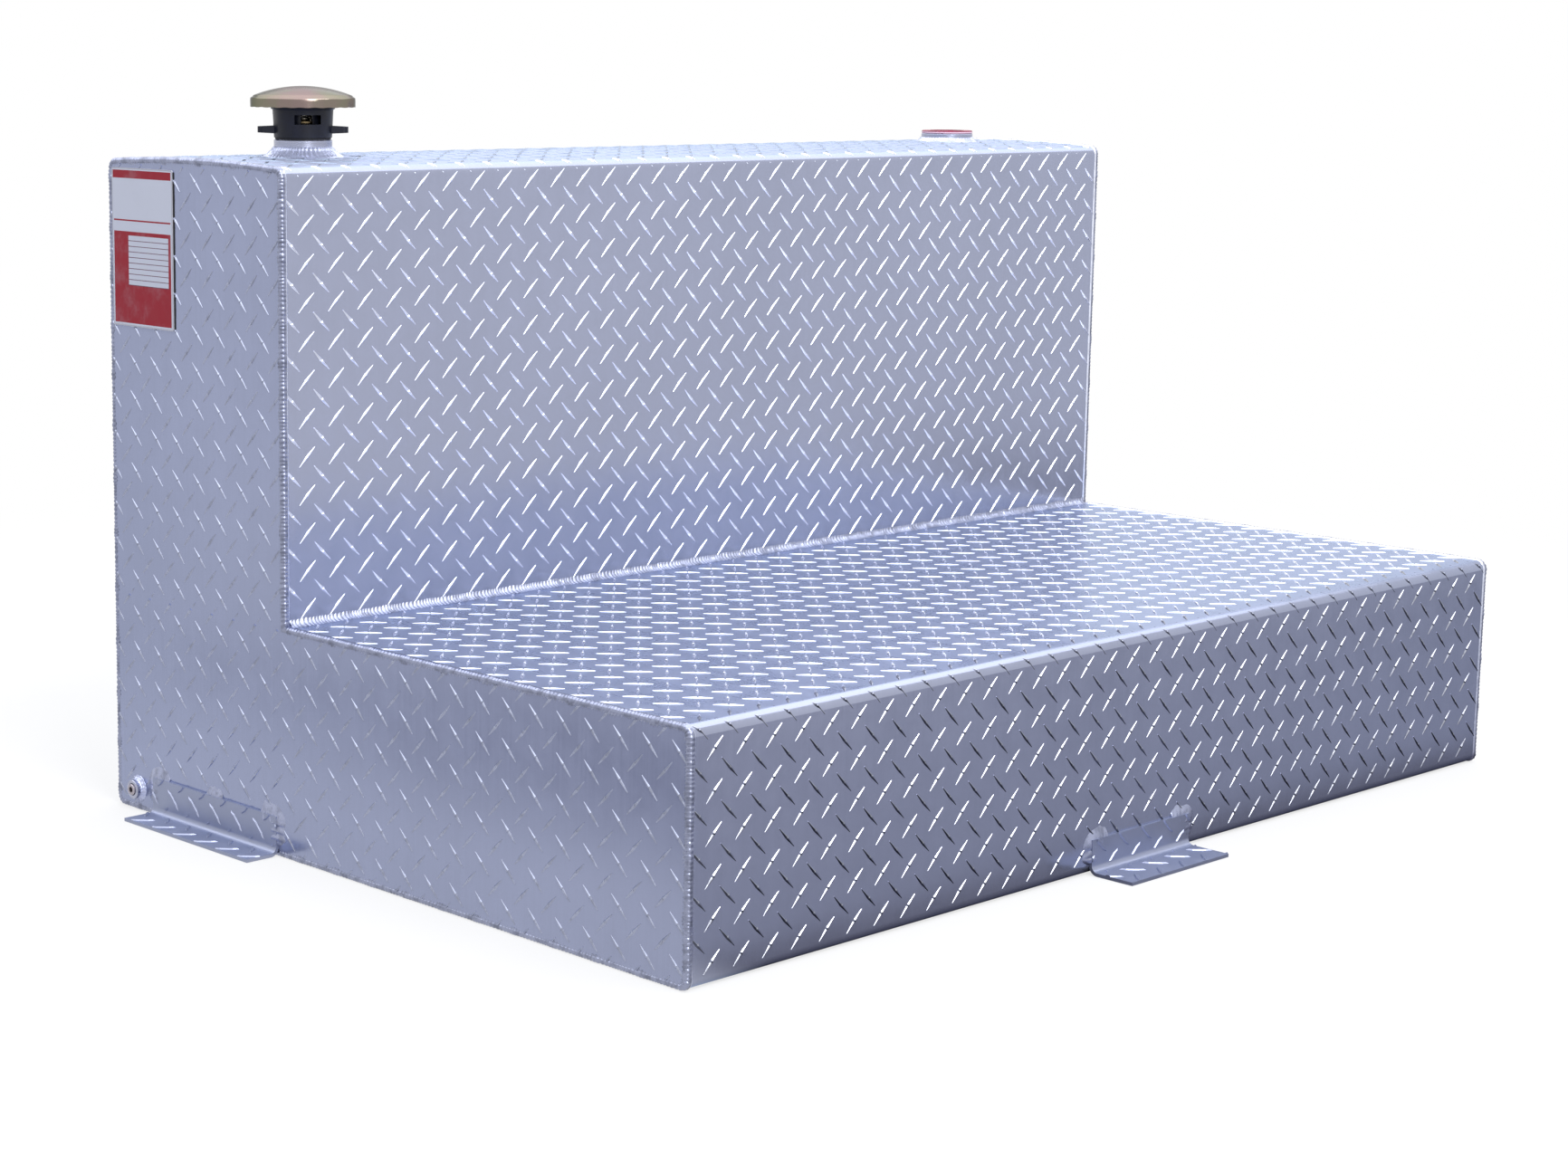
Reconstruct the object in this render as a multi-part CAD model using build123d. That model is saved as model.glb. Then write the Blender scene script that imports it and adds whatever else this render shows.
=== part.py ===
from build123d import *
import os
from math import atan, cos, sqrt, tan

# Truck bed transfer tank. One wide tread plate is folded round an L-shaped section and closed by
# two L-shaped end plates, which are welded corner to corner with its edges. A vented filler cap
# and a plugged port stand on the tower's top, a drain is low in the left end, and angle brackets
# are welded to the foot. X runs along the width, the low deck is on the -Y side and +Z is up.
# The origin is at the middle of the footprint, on the floor. Lengths are in millimetres.

# Shell
TANK_WIDTH = 1219.2
TANK_DEPTH = 819.0
TANK_HEIGHT = 652.0
TOWER_DEPTH = 280.0
DECK_HEIGHT = 223.0
SHEET = 3.2
BEND_INNER = 6.4
TOP_RISE = 8.0
CREST_BLEND = 1.1
SEAM_GAP = 0.5

# Weld beads
CORNER_TOE = 6.5
CORNER_PROUD = 1.3
SEAM_LEG = 7.0
BEAD_CROWN = 0.8
CONE_HOLLOW = 0.42
TACK_RADIUS = 6.5

# Slosh baffles
BAFFLE_SPACING = 406.0
BAFFLE_FLANGE = 25.0
BAFFLE_HOLE = 76.0
BAFFLE_NOTCH = 40.0
TOWER_HOLE_PITCH = 190.0
DECK_HOLE_PITCH = 190.0

# Threaded ports
PIPE_BORE = 45.6
THREAD_PLAY = 0.15
PORT_REACH = 4.0
PORT_CHAMFER = 1.2
EDGE_BREAK = 1.0
HOLE_PLAY = 0.2
NECK_DIAMETER = 57.2
NECK_HEIGHT = 17.0
NECK_INSET = 133.8
NECK_WELD_SPREAD = 12.9
NECK_WELD_HEIGHT = 11.0
PORT_DIAMETER = 61.0
PORT_HEIGHT = 10.2
PORT_INSET = 112.4
PORT_WELD_SPREAD = 7.0
PORT_WELD_HEIGHT = 6.0

# Vented filler cap
GASKET = 1.5
GASKET_LIP = 1.0
CAP_FOOT_DIAMETER = 56.8
CAP_NECK_DIAMETER = 59.6
CAP_RIM_DIAMETER = 63.0
CAP_RIM = 2.5
CAP_HEIGHT = 30.5
PLUG_DEPTH = 16.0
PLUG_WALL = 3.6
CHAMBER_WALL = 3.6
CHAMBER_FLOOR = 3.5
FLOOR_LEVEL = 13.0
WINDOW_COUNT = 3
WINDOW_WIDTH = 26.0
WINDOW_HEIGHT = 9.2
WINDOW_TURN = -117.5
LUG_SPAN = 88.7
LUG_ROOT = 7.6
LUG_TIP = 5.9
LUG_WIDTH = 15.0
LUG_LEVEL = 7.7
LUG_TURN = -37.7
DOME_DIAMETER = 102.9
DOME_SHEET = 1.0
DOME_SKIRT = 10.0
DOME_RISE = 10.5
DOME_SHOULDER = 2.6
DOME_LIP = 2.8
CARRIER_DISC = 2.5
CARRIER_SPIGOT = 6.0
CARRIER_WALL = 3.0
SPRING_SEAT = 2.0
STOP_POST_DIAMETER = 10.0
CAP_PLAY = 0.2

# Breather valve
VENT_BORE = 12.0
VENT_TRAVEL = 2.5
POPPET_DIAMETER = 34.0
POPPET_DISC = 1.6
POPPET_HUB = 16.0
POPPET_HUB_HEIGHT = 3.0
POPPET_PILOT = 4.0
POPPET_PILOT_SHORT = 1.0
POPPET_PILOT_WING = 1.6
SEAL = 1.2
SEAL_DIAMETER = 24.0
SEAL_SETBACK = 1.0
SPRING_WIRE = 1.2
SPRING_TURNS = 4.5

# Port plug
PLUG_FLANGE = 3.0
PLUG_FLANGE_DIAMETER = 60.5
BUNG_PLUG_DEPTH = 16.0
BUNG_PLUG_WALL = 2.2
BUNG_PLUG_PLAY = 0.3
BUNG_PLUG_DRAFT = 0.6

# Drain
DRAIN_DIAMETER = 19.0
DRAIN_BORE = 11.4
DRAIN_STAND = 8.0
DRAIN_REACH = 6.0
DRAIN_FROM_BACK = 36.0
DRAIN_CLEAR = 0.5
DRAIN_WELD_SPREAD = 5.0
DRAIN_WELD_HEIGHT = 5.0
DRAIN_PLUG_LENGTH = 10.0
DRAIN_PLUG_PROUD = 1.5
DRAIN_KEY = 5.5
DRAIN_KEY_DEPTH = 6.0

# Brackets
FRONT_BRACKET_LENGTH = 152.4
FRONT_BRACKET_LEG = 34.0
FRONT_BRACKET_FLANGE = 50.0
SIDE_BRACKET_LENGTH = 203.2
SIDE_BRACKET_LEG = 39.0
SIDE_BRACKET_FLANGE = 38.0
SIDE_BRACKET_FROM_BACK = 66.0
TACK_LENGTH = 26.0

# Tread of the brackets, with the place of one lug on each face: along it, and out from the heel
TREAD_PITCH_ACROSS = 35.1
TREAD_PITCH_ALONG = 36.15
TREAD_LENGTH = 26.0
TREAD_WIDTH = 4.4
TREAD_HEIGHT = 1.2
TREAD_FLANK = 40
TREAD_LEAN = 45
FRONT_LEG_LUG_ALONG = 6.5
FRONT_LEG_LUG_OUT = 28.5
FRONT_FLANGE_LUG_ALONG = 4.7
FRONT_FLANGE_LUG_OUT = 23.4
SIDE_LEG_LUG_ALONG = 3.2
SIDE_LEG_LUG_OUT = 22.0
SIDE_FLANGE_LUG_ALONG = -5.9
SIDE_FLANGE_LUG_OUT = 12.0

# Label
LABEL_WIDTH = 102.0
LABEL_HEIGHT = 155.0
LABEL_THICKNESS = 1.6
LABEL_CLEAR = 1.0
LABEL_CORNER = 2.0

# Places
HALF_WIDTH = TANK_WIDTH / 2
PLATE_INSIDE = HALF_WIDTH - SHEET
BEND_OUTER = BEND_INNER + SHEET
FRONT_Y = (FRONT_BRACKET_FLANGE - TANK_DEPTH - CORNER_PROUD) / 2
BACK_Y = FRONT_Y + TANK_DEPTH
RISER_Y = BACK_Y - TOWER_DEPTH
TOP_Y = BACK_Y - TOWER_DEPTH / 2
TOP_SLOPE = atan(TOP_RISE / (TOWER_DEPTH / 2))
CREST_RADIUS = (TOWER_DEPTH / 2 / cos(TOP_SLOPE) - CREST_BLEND * BEND_OUTER) / tan(TOP_SLOPE)
CREST_Z = TANK_HEIGHT + TOP_RISE - CREST_RADIUS * (1 / cos(TOP_SLOPE) - 1)
NECK_X = NECK_INSET - HALF_WIDTH
PORT_X = HALF_WIDTH - PORT_INSET
CAP_Z = CREST_Z + NECK_HEIGHT + GASKET
FLOOR_Z = CAP_Z + FLOOR_LEVEL
RIM_Z = CAP_Z + CAP_HEIGHT
DRAIN_Y = BACK_Y - DRAIN_FROM_BACK
DRAIN_Z = CORNER_TOE + DRAIN_CLEAR + DRAIN_WELD_SPREAD + DRAIN_DIAMETER / 2
SIDE_BRACKET_Y = BACK_Y - SIDE_BRACKET_FROM_BACK - SIDE_BRACKET_LENGTH / 2
SIDE_OF = {"left": -1, "right": 1}


def tank_section(inset=0.0):
    """Face across the tank, in the YZ plane, moved in from the outside of the sheet by inset."""
    outline = Polyline(
        (FRONT_Y, 0), (BACK_Y, 0), (BACK_Y, TANK_HEIGHT), (TOP_Y, TANK_HEIGHT + TOP_RISE),
        (RISER_Y, TANK_HEIGHT), (RISER_Y, DECK_HEIGHT), (FRONT_Y, DECK_HEIGHT), close=True,
    )
    section = make_face(outline)
    crest = section.vertices().sort_by(Axis.Y)[-1]
    inner_corner = Vector(RISER_Y, DECK_HEIGHT, 0)
    bends = [v for v in section.vertices() if v != crest and (Vector(v) - inner_corner).length > 1]
    section = fillet(bends, BEND_OUTER)
    crest = section.vertices().sort_by(Axis.Y)[-1]
    section = fillet([crest], CREST_RADIUS)
    if inset > 0:
        section = offset(section, amount=-inset, kind=Kind.INTERSECTION)
    return section


def across(section, start, length):
    """Solid of a YZ section that runs along +X from start."""
    return extrude(Plane.YZ.offset(start) * section, length)


def turned(points, x=0.0, y=0.0, z=0.0):
    """Solid turned about an upright axis, from (radius, height) points."""
    profile = make_face(Plane.XZ * Polyline(*points, close=True))
    return Pos(x, y, z) * revolve(profile, Axis.Z)


def ring(outer, inner, height, chamfer_size, x, y, z):
    """Turned ring with its outer and inner top edges broken."""
    points = [
        (inner, 0), (outer, 0), (outer, height - chamfer_size), (outer - chamfer_size, height),
        (inner + chamfer_size, height), (inner, height - chamfer_size),
    ]
    return turned(points, x, y, z)


def weld_ring(inner, spread, height, x, y, z):
    """Cone of weld round a turned port, with a slightly hollow face."""
    foot = inner + spread
    face = ThreePointArc((foot, 0), (inner + CONE_HOLLOW * spread, CONE_HOLLOW * height), (inner, height))
    sides = Polyline((inner, height), (inner, -SHEET), (foot, -SHEET), (foot, 0))
    profile = make_face(Plane.XZ * (Curve() + [face, sides]))
    return Pos(x, y, z) * revolve(profile, Axis.Z)


# Shell

def wrap_sheet():
    """The folded tread plate, open at both ends, with its two edges meeting in the inner corner."""
    shell = tank_section() - tank_section(SHEET)
    seam = Pos(RISER_Y + SHEET / 2, DECK_HEIGHT + SEAM_GAP / 2) * Rectangle(2 * SHEET, SEAM_GAP)
    wrap = across(shell - seam, -PLATE_INSIDE, 2 * PLATE_INSIDE)
    for x, diameter in ((NECK_X, NECK_DIAMETER), (PORT_X, PORT_DIAMETER)):
        wrap -= Pos(x, TOP_Y, CREST_Z) * Cylinder(diameter / 2 + HOLE_PLAY, 4 * SHEET)
    return wrap


def end_plate(side):
    """L-shaped plate set in the end, flush with the wrap's inside all round."""
    start = -HALF_WIDTH if side < 0 else PLATE_INSIDE
    plate = across(tank_section(SHEET), start, SHEET)
    if side < 0:
        hole = Rot(0, 90, 0) * Cylinder(DRAIN_DIAMETER / 2 + HOLE_PLAY, 4 * SHEET)
        plate -= Pos(-HALF_WIDTH, DRAIN_Y, DRAIN_Z) * hole
    return plate


def corner_weld(side):
    """Rounded bead along the whole outside corner of one end, ground flat on the floor."""
    reach = CORNER_TOE + CORNER_PROUD
    centre = reach - sqrt(2 * CORNER_TOE * CORNER_PROUD + 2 * CORNER_PROUD ** 2)
    crown = centre - (centre + CORNER_PROUD) / sqrt(2)
    face = ThreePointArc((CORNER_TOE, 0), (crown, crown), (0, CORNER_TOE))
    edges = Polyline((0, CORNER_TOE), (0, SHEET), (SHEET, SHEET), (SHEET, 0), (CORNER_TOE, 0))
    section = make_face(Curve() + [face, edges])
    corner = Plane.YZ.offset(HALF_WIDTH) * tank_section()
    path = corner.face().outer_wire()
    start = Plane(path @ 0, x_dir=(-1, 0, 0), z_dir=path % 0)
    bead = sweep(start * section, path, transition=Transition.RIGHT)
    below = Box(4 * reach, 2 * TANK_DEPTH, 2 * reach, align=(Align.CENTER, Align.CENTER, Align.MAX))
    bead -= Pos(HALF_WIDTH, 0, 0) * below
    return bead if side > 0 else mirror(bead, Plane.YZ)


def seam_weld(wrap):
    """Fillet bead where the riser stands on the deck, run between the two corner beads."""
    foot = (RISER_Y - SEAM_LEG, DECK_HEIGHT)
    head = (RISER_Y, DECK_HEIGHT + SEAM_LEG)
    bulge = SEAM_LEG / 2 - BEAD_CROWN
    face = ThreePointArc(foot, (RISER_Y - bulge, DECK_HEIGHT + bulge), head)
    back = RISER_Y + SHEET / 2
    sides = Polyline(head, (back, DECK_HEIGHT + SEAM_LEG), (back, DECK_HEIGHT), foot)
    section = make_face(Curve() + [face, sides])
    half = HALF_WIDTH - CORNER_TOE
    return across(section, -half, 2 * half) - wrap


# Slosh baffles

def baffle(place):
    """Pan-shaped baffle with its edges turned along X, clipped corners and round windows."""
    inside = tank_section(SHEET)
    core = tank_section(2 * SHEET)
    start = place - SHEET / 2
    pan = across(inside, start, SHEET) + across(inside - core, start, BAFFLE_FLANGE)
    corners = [
        (FRONT_Y, 0), (BACK_Y, 0), (BACK_Y, TANK_HEIGHT), (RISER_Y, TANK_HEIGHT),
        (RISER_Y, DECK_HEIGHT), (FRONT_Y, DECK_HEIGHT),
    ]
    tower_middle = DECK_HEIGHT + (TANK_HEIGHT - DECK_HEIGHT) / 2
    deck_middle = FRONT_Y + (TANK_DEPTH - TOWER_DEPTH) / 2
    windows = [(TOP_Y, tower_middle + step * TOWER_HOLE_PITCH / 2) for step in (-1, 1)]
    windows += [(deck_middle + step * DECK_HOLE_PITCH, DECK_HEIGHT / 2) for step in (-1, 0, 1)]
    windows += [(TOP_Y, DECK_HEIGHT / 2)]
    length = 4 * BAFFLE_FLANGE
    for y, z in corners:
        pan -= Pos(place, y, z) * Rot(0, 90, 0) * Cylinder(BAFFLE_NOTCH, length)
    for y, z in windows:
        pan -= Pos(place, y, z) * Rot(0, 90, 0) * Cylinder(BAFFLE_HOLE / 2, length)
    return pan


# Ports on the top

def port(diameter, height, x):
    """Turned aluminium port that passes through the top sheet."""
    depth = SHEET + PORT_REACH
    return ring(diameter / 2, PIPE_BORE / 2, height + depth, PORT_CHAMFER, x, TOP_Y, CREST_Z - depth)


def port_weld(diameter, spread, height, x, wrap):
    """Weld round a port, shaped to the sheet below it."""
    return weld_ring(diameter / 2, spread, height, x, TOP_Y, CREST_Z) - wrap


def bung_plug():
    """Soft plug pushed into the port: a flange with an open, tapered cup below it."""
    radius = PIPE_BORE / 2 - BUNG_PLUG_PLAY
    bottom = -BUNG_PLUG_DEPTH
    flange = PLUG_FLANGE_DIAMETER / 2
    mouth = radius - BUNG_PLUG_WALL
    points = [
        (0, bottom), (radius - EDGE_BREAK, bottom), (radius, bottom + EDGE_BREAK), (radius, 0),
        (flange, 0), (flange, PLUG_FLANGE - EDGE_BREAK), (flange - EDGE_BREAK, PLUG_FLANGE),
        (mouth, PLUG_FLANGE), (mouth - BUNG_PLUG_DRAFT, bottom + BUNG_PLUG_WALL),
        (0, bottom + BUNG_PLUG_WALL),
    ]
    return turned(points, PORT_X, TOP_Y, CREST_Z + PORT_HEIGHT)


# Vented filler cap

def cap_gasket():
    """Flat seal between the neck's rim and the cap's foot."""
    outer = CAP_FOOT_DIAMETER / 2 - GASKET_LIP
    inner = PIPE_BORE / 2 + PORT_CHAMFER
    return ring(outer, inner, GASKET, GASKET / 5, NECK_X, TOP_Y, CAP_Z - GASKET)


def cap_shell():
    """The moulded cap without its lugs: plug below, valve chamber above, floor between."""
    plug = PIPE_BORE / 2 - THREAD_PLAY
    foot = CAP_FOOT_DIAMETER / 2
    neck = CAP_NECK_DIAMETER / 2
    rim = CAP_RIM_DIAMETER / 2
    chamber = neck - CHAMBER_WALL
    under_floor = FLOOR_LEVEL - CHAMBER_FLOOR
    points = [
        (plug - PLUG_WALL, -PLUG_DEPTH), (plug - EDGE_BREAK, -PLUG_DEPTH),
        (plug, EDGE_BREAK - PLUG_DEPTH), (plug, 0), (foot, 0),
        (neck, CAP_HEIGHT - CAP_RIM - EDGE_BREAK), (rim, CAP_HEIGHT - CAP_RIM), (rim, CAP_HEIGHT),
        (chamber, CAP_HEIGHT), (chamber, FLOOR_LEVEL), (VENT_BORE / 2, FLOOR_LEVEL),
        (VENT_BORE / 2, under_floor), (plug - PLUG_WALL, under_floor),
    ]
    return turned(points, NECK_X, TOP_Y, CAP_Z)


def cap_lug():
    """One finger lug, thinner towards its rounded tip, pointing along +X from the cap's axis."""
    root = CAP_FOOT_DIAMETER / 2 - CHAMBER_WALL / 2
    tip = LUG_SPAN / 2
    outline = Polyline(
        (root, -LUG_ROOT / 2), (tip, -LUG_TIP / 2), (tip, LUG_TIP / 2), (root, LUG_ROOT / 2), close=True,
    )
    lug = extrude(Plane.XZ * make_face(outline), LUG_WIDTH / 2, both=True)
    tip_corners = lug.edges().filter_by(Axis.Z).sort_by(Axis.X)[-2:]
    return fillet(tip_corners, LUG_WIDTH / 3)


def cap_body():
    """Black cap: shell, two opposite lugs and a ring of windows into the valve chamber."""
    body = cap_shell()
    wall = CAP_NECK_DIAMETER / 2
    for turn in (LUG_TURN, LUG_TURN + 180):
        body += Pos(NECK_X, TOP_Y, CAP_Z + LUG_LEVEL) * Rot(0, 0, turn) * cap_lug()
    for i in range(WINDOW_COUNT):
        turn = WINDOW_TURN + 360 / WINDOW_COUNT * i
        window = Pos(wall, 0, WINDOW_HEIGHT / 2) * Box(wall, WINDOW_WIDTH, WINDOW_HEIGHT)
        body -= Pos(NECK_X, TOP_Y, FLOOR_Z) * Rot(0, 0, turn) * window
    return body


def cap_carrier():
    """Disc on the cap's rim that carries the dome, with a spigot, spring seat and valve stop."""
    disc = DOME_DIAMETER / 2 - DOME_SHEET - CAP_PLAY
    spigot = CAP_NECK_DIAMETER / 2 - CHAMBER_WALL - CAP_PLAY / 2
    seat = POPPET_HUB / 2
    post = STOP_POST_DIAMETER / 2
    hub_top = FLOOR_LEVEL + SEAL + POPPET_DISC + POPPET_HUB_HEIGHT
    stop = hub_top + VENT_TRAVEL + CAP_PLAY - CAP_HEIGHT
    inside = spigot - CARRIER_WALL
    points = [
        (0, stop), (post, stop), (post, -SPRING_SEAT), (seat, -SPRING_SEAT), (seat, 0), (inside, 0),
        (inside, -CARRIER_SPIGOT), (spigot, -CARRIER_SPIGOT), (spigot, 0),
        (disc, 0), (disc, CARRIER_DISC), (0, CARRIER_DISC),
    ]
    return turned(points, NECK_X, TOP_Y, RIM_Z)


def dome_blank(radius, skirt, shoulder, bottom):
    """Solid dome with a straight skirt, its shoulder rounded, from bottom up to skirt plus rise."""
    crown = ThreePointArc((-radius, skirt), (0, skirt + DOME_RISE), (radius, skirt))
    sides = Polyline((radius, skirt), (radius, bottom), (-radius, bottom), (-radius, skirt))
    profile = make_face(Curve() + [crown, sides])
    profile = fillet(profile.vertices().group_by(Axis.Y)[-1], shoulder)
    half = profile & Pos(radius, 0) * Rectangle(2 * radius, 8 * radius)
    return revolve(Plane.XZ * half, Axis.Z)


def cap_dome():
    """Pressed dome with a straight skirt, turned in under the carrier at its lower edge."""
    outer = DOME_DIAMETER / 2
    skirt = DOME_SKIRT - DOME_SHEET
    dome = dome_blank(outer, skirt, DOME_SHOULDER, -DOME_SHEET)
    dome -= dome_blank(outer - DOME_SHEET, skirt - DOME_SHEET, DOME_SHOULDER - DOME_SHEET, 0)
    dome -= Cylinder(outer - DOME_LIP, 4 * DOME_SHEET)
    return Pos(NECK_X, TOP_Y, RIM_Z) * dome


# Breather valve

def vent_seal():
    """Soft washer between the valve and the chamber's floor."""
    inner = VENT_BORE / 2 + SEAL_SETBACK
    outer = SEAL_DIAMETER / 2
    points = [(inner, 0), (outer, 0), (outer, SEAL), (inner, SEAL)]
    return turned(points, NECK_X, TOP_Y, FLOOR_Z)


def vent_poppet():
    """Brass valve: disc, hub inside the spring and a winged pilot in the vent bore."""
    disc = POPPET_DIAMETER / 2
    hub = POPPET_HUB / 2
    pilot = POPPET_PILOT / 2
    drop = POPPET_PILOT_SHORT - SEAL - CHAMBER_FLOOR
    top = POPPET_DISC + POPPET_HUB_HEIGHT
    points = [
        (0, drop), (pilot, drop), (pilot, 0), (disc, 0), (disc, POPPET_DISC),
        (hub, POPPET_DISC), (hub - EDGE_BREAK, top), (0, top),
    ]
    valve = turned(points)
    wing_span = VENT_BORE - 2 * THREAD_PLAY
    for turn in (0, 90):
        wing = Box(wing_span, POPPET_PILOT_WING, -drop, align=(Align.CENTER, Align.CENTER, Align.MAX))
        valve += Rot(0, 0, turn) * wing
    return Pos(NECK_X, TOP_Y, FLOOR_Z + SEAL) * valve


def vent_spring():
    """Open coil from the valve's disc to the carrier's seat."""
    low = FLOOR_Z + SEAL + POPPET_DISC + SPRING_WIRE / 2
    high = RIM_Z - SPRING_WIRE / 2
    radius = (POPPET_HUB + SPRING_WIRE) / 2 + CAP_PLAY
    pitch = (high - low) / SPRING_TURNS
    path = Helix(pitch, high - low, radius)
    section = Plane(path @ 0, z_dir=path % 0) * Circle(SPRING_WIRE / 2)
    coil = sweep(section, path, is_frenet=True)
    return Pos(NECK_X, TOP_Y, low) * coil


# Drain

def drain_place(solid):
    """Places a turned solid, whose axis is Z, with its +Z end out of the left end plate."""
    return Pos(-HALF_WIDTH, DRAIN_Y, DRAIN_Z) * Rot(0, -90, 0) * solid


def drain_bung():
    """Small threaded coupling through the left end plate."""
    reach = SHEET + DRAIN_REACH
    length = DRAIN_STAND + reach
    return drain_place(ring(DRAIN_DIAMETER / 2, DRAIN_BORE / 2, length, PORT_CHAMFER / 2, 0, 0, -reach))


def drain_weld(plate):
    """Weld round the drain coupling, clear of the floor and the corner bead."""
    cone = weld_ring(DRAIN_DIAMETER / 2, DRAIN_WELD_SPREAD, DRAIN_WELD_HEIGHT, 0, 0, 0)
    return drain_place(cone) - plate


def drain_plug():
    """Threaded plug with a hexagonal key recess."""
    radius = DRAIN_BORE / 2 - THREAD_PLAY
    edge = PORT_CHAMFER / 2
    points = [
        (0, 0), (radius, 0), (radius, DRAIN_PLUG_LENGTH - edge), (radius - edge, DRAIN_PLUG_LENGTH),
        (0, DRAIN_PLUG_LENGTH),
    ]
    plug = turned(points)
    recess = extrude(RegularPolygon(DRAIN_KEY / 2, 6, major_radius=False), DRAIN_KEY_DEPTH)
    plug -= Pos(0, 0, DRAIN_PLUG_LENGTH - DRAIN_KEY_DEPTH) * recess
    return drain_place(Pos(0, 0, DRAIN_STAND + DRAIN_PLUG_PROUD - DRAIN_PLUG_LENGTH) * plug)


# Brackets, drawn for a bracket that lies along X with its leg against a wall on its +Y side

def tread_lug(turn):
    """One raised lug: a slim spindle with sloping sides."""
    half = TREAD_LENGTH / 2
    waist = half / 2
    side = TREAD_WIDTH / 2
    outline = Polyline(
        (-half, 0), (-waist, -side), (waist, -side), (half, 0), (waist, side), (-waist, side), close=True,
    )
    return Rot(0, 0, turn) * extrude(make_face(outline), TREAD_HEIGHT, taper=TREAD_FLANK)


def tread(length, reach, start, along, out):
    """Lugs on a flat strip in XY, from start to reach along Y, in step with one at (along, out)."""
    lugs = []
    columns = 2 * int(length / TREAD_PITCH_ACROSS) + 2
    rows = 2 * int(reach / TREAD_PITCH_ALONG) + 2
    for column in range(-columns, columns + 1):
        for row in range(-rows, rows + 1):
            if (column + row) % 2:
                continue
            x = along + column * TREAD_PITCH_ACROSS / 2
            y = out + row * TREAD_PITCH_ALONG / 2
            if abs(x) > (length + TREAD_LENGTH) / 2 or not start - TREAD_LENGTH < y < reach + TREAD_LENGTH:
                continue
            lugs.append(Pos(x, y, 0) * tread_lug(TREAD_LEAN if row % 2 else -TREAD_LEAN))
    strip = Pos(0, (start + reach) / 2, TREAD_HEIGHT / 2) * Box(length, reach - start, TREAD_HEIGHT)
    kept = [lug & strip for lug in lugs]
    return [lug for lug in kept if lug is not None and lug.volume > 1]


def angle_bracket(length, leg, flange, leg_lug, flange_lug):
    """Folded tread plate angle with its heel at the origin's edge, leg up and flange towards -Y."""
    outline = Polyline(
        (0, 0), (0, leg), (-SHEET, leg), (-SHEET, SHEET), (-flange, SHEET), (-flange, 0), close=True,
    )
    section = make_face(outline)
    heel = section.vertices().sort_by_distance((0, 0, 0))[0]
    section = fillet([heel], BEND_OUTER)
    root = section.vertices().sort_by_distance((-SHEET, SHEET, 0))[0]
    section = fillet([root], BEND_INNER)
    bracket = across(section, -length / 2, length)
    bend = SHEET + BEND_INNER
    on_leg = Pos(0, -SHEET, 0) * Rot(90, 0, 0)
    on_flange = Pos(0, 0, SHEET) * Rot(0, 0, 180)
    for lug in tread(length, leg, bend, *leg_lug):
        bracket += on_leg * lug
    for lug in tread(length, flange, bend, *flange_lug):
        bracket += on_flange * lug
    return bracket


def tack(length, x, z, upright=False):
    """Rounded blob of weld, centred on the leg's edge."""
    blob = Cylinder(TACK_RADIUS, length) + Pos(0, 0, length / 2) * Sphere(TACK_RADIUS)
    blob += Pos(0, 0, -length / 2) * Sphere(TACK_RADIUS)
    turn = Rot(0, 0, 0) if upright else Rot(0, 90, 0)
    return Pos(x, 0, z) * turn * blob


def bracket_tacks(length, leg, middle):
    """Tacks at the leg's top corners, down its ends and, on a long bracket, in the middle."""
    run = TACK_LENGTH - 2 * TACK_RADIUS
    end = length / 2
    lowest = BEND_OUTER + TACK_RADIUS
    blobs = [tack(run, side * (end - run / 2), leg) for side in (-1, 1)]
    blobs += [tack(leg - lowest, side * end, (leg + lowest) / 2, upright=True) for side in (-1, 1)]
    if middle:
        blobs.append(tack(run, 0, leg))
    return blobs


def bracket_place(name):
    """Where a bracket of that name stands."""
    places = {
        "front": Pos(0, FRONT_Y, 0),
        "left": Pos(-HALF_WIDTH, SIDE_BRACKET_Y, 0) * Rot(0, 0, -90),
        "right": Pos(HALF_WIDTH, SIDE_BRACKET_Y, 0) * Rot(0, 0, 90),
    }
    return places[name]


def bracket_pair(name):
    """A bracket and its welds, which end at the wall behind it."""
    if name == "front":
        sizes = (FRONT_BRACKET_LENGTH, FRONT_BRACKET_LEG, FRONT_BRACKET_FLANGE)
        leg_lug = (FRONT_LEG_LUG_ALONG, FRONT_LEG_LUG_OUT)
        flange_lug = (FRONT_FLANGE_LUG_ALONG, FRONT_FLANGE_LUG_OUT)
    else:
        sizes = (SIDE_BRACKET_LENGTH, SIDE_BRACKET_LEG, SIDE_BRACKET_FLANGE)
        leg_lug = (SIDE_LEG_LUG_ALONG, SIDE_LEG_LUG_OUT)
        flange_lug = (SIDE_FLANGE_LUG_ALONG, SIDE_FLANGE_LUG_OUT)
    bracket = bracket_place(name) * angle_bracket(*sizes, leg_lug, flange_lug)
    behind = Box(
        2 * sizes[0], 4 * TACK_RADIUS, 4 * sizes[1], align=(Align.CENTER, Align.MIN, Align.CENTER)
    )
    welds = Part() + bracket_tacks(sizes[0], sizes[1], name != "front") - behind
    return bracket, bracket_place(name) * welds - bracket


# Label

def label():
    """Plain label plate near the top back corner of the left end."""
    face = RectangleRounded(LABEL_WIDTH, LABEL_HEIGHT, LABEL_CORNER)
    edge = CORNER_TOE + LABEL_CLEAR
    y = BACK_Y - edge - LABEL_WIDTH / 2
    z = TANK_HEIGHT - edge - LABEL_HEIGHT / 2
    return across(Pos(y, z) * face, -HALF_WIDTH - LABEL_THICKNESS, LABEL_THICKNESS)


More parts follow.
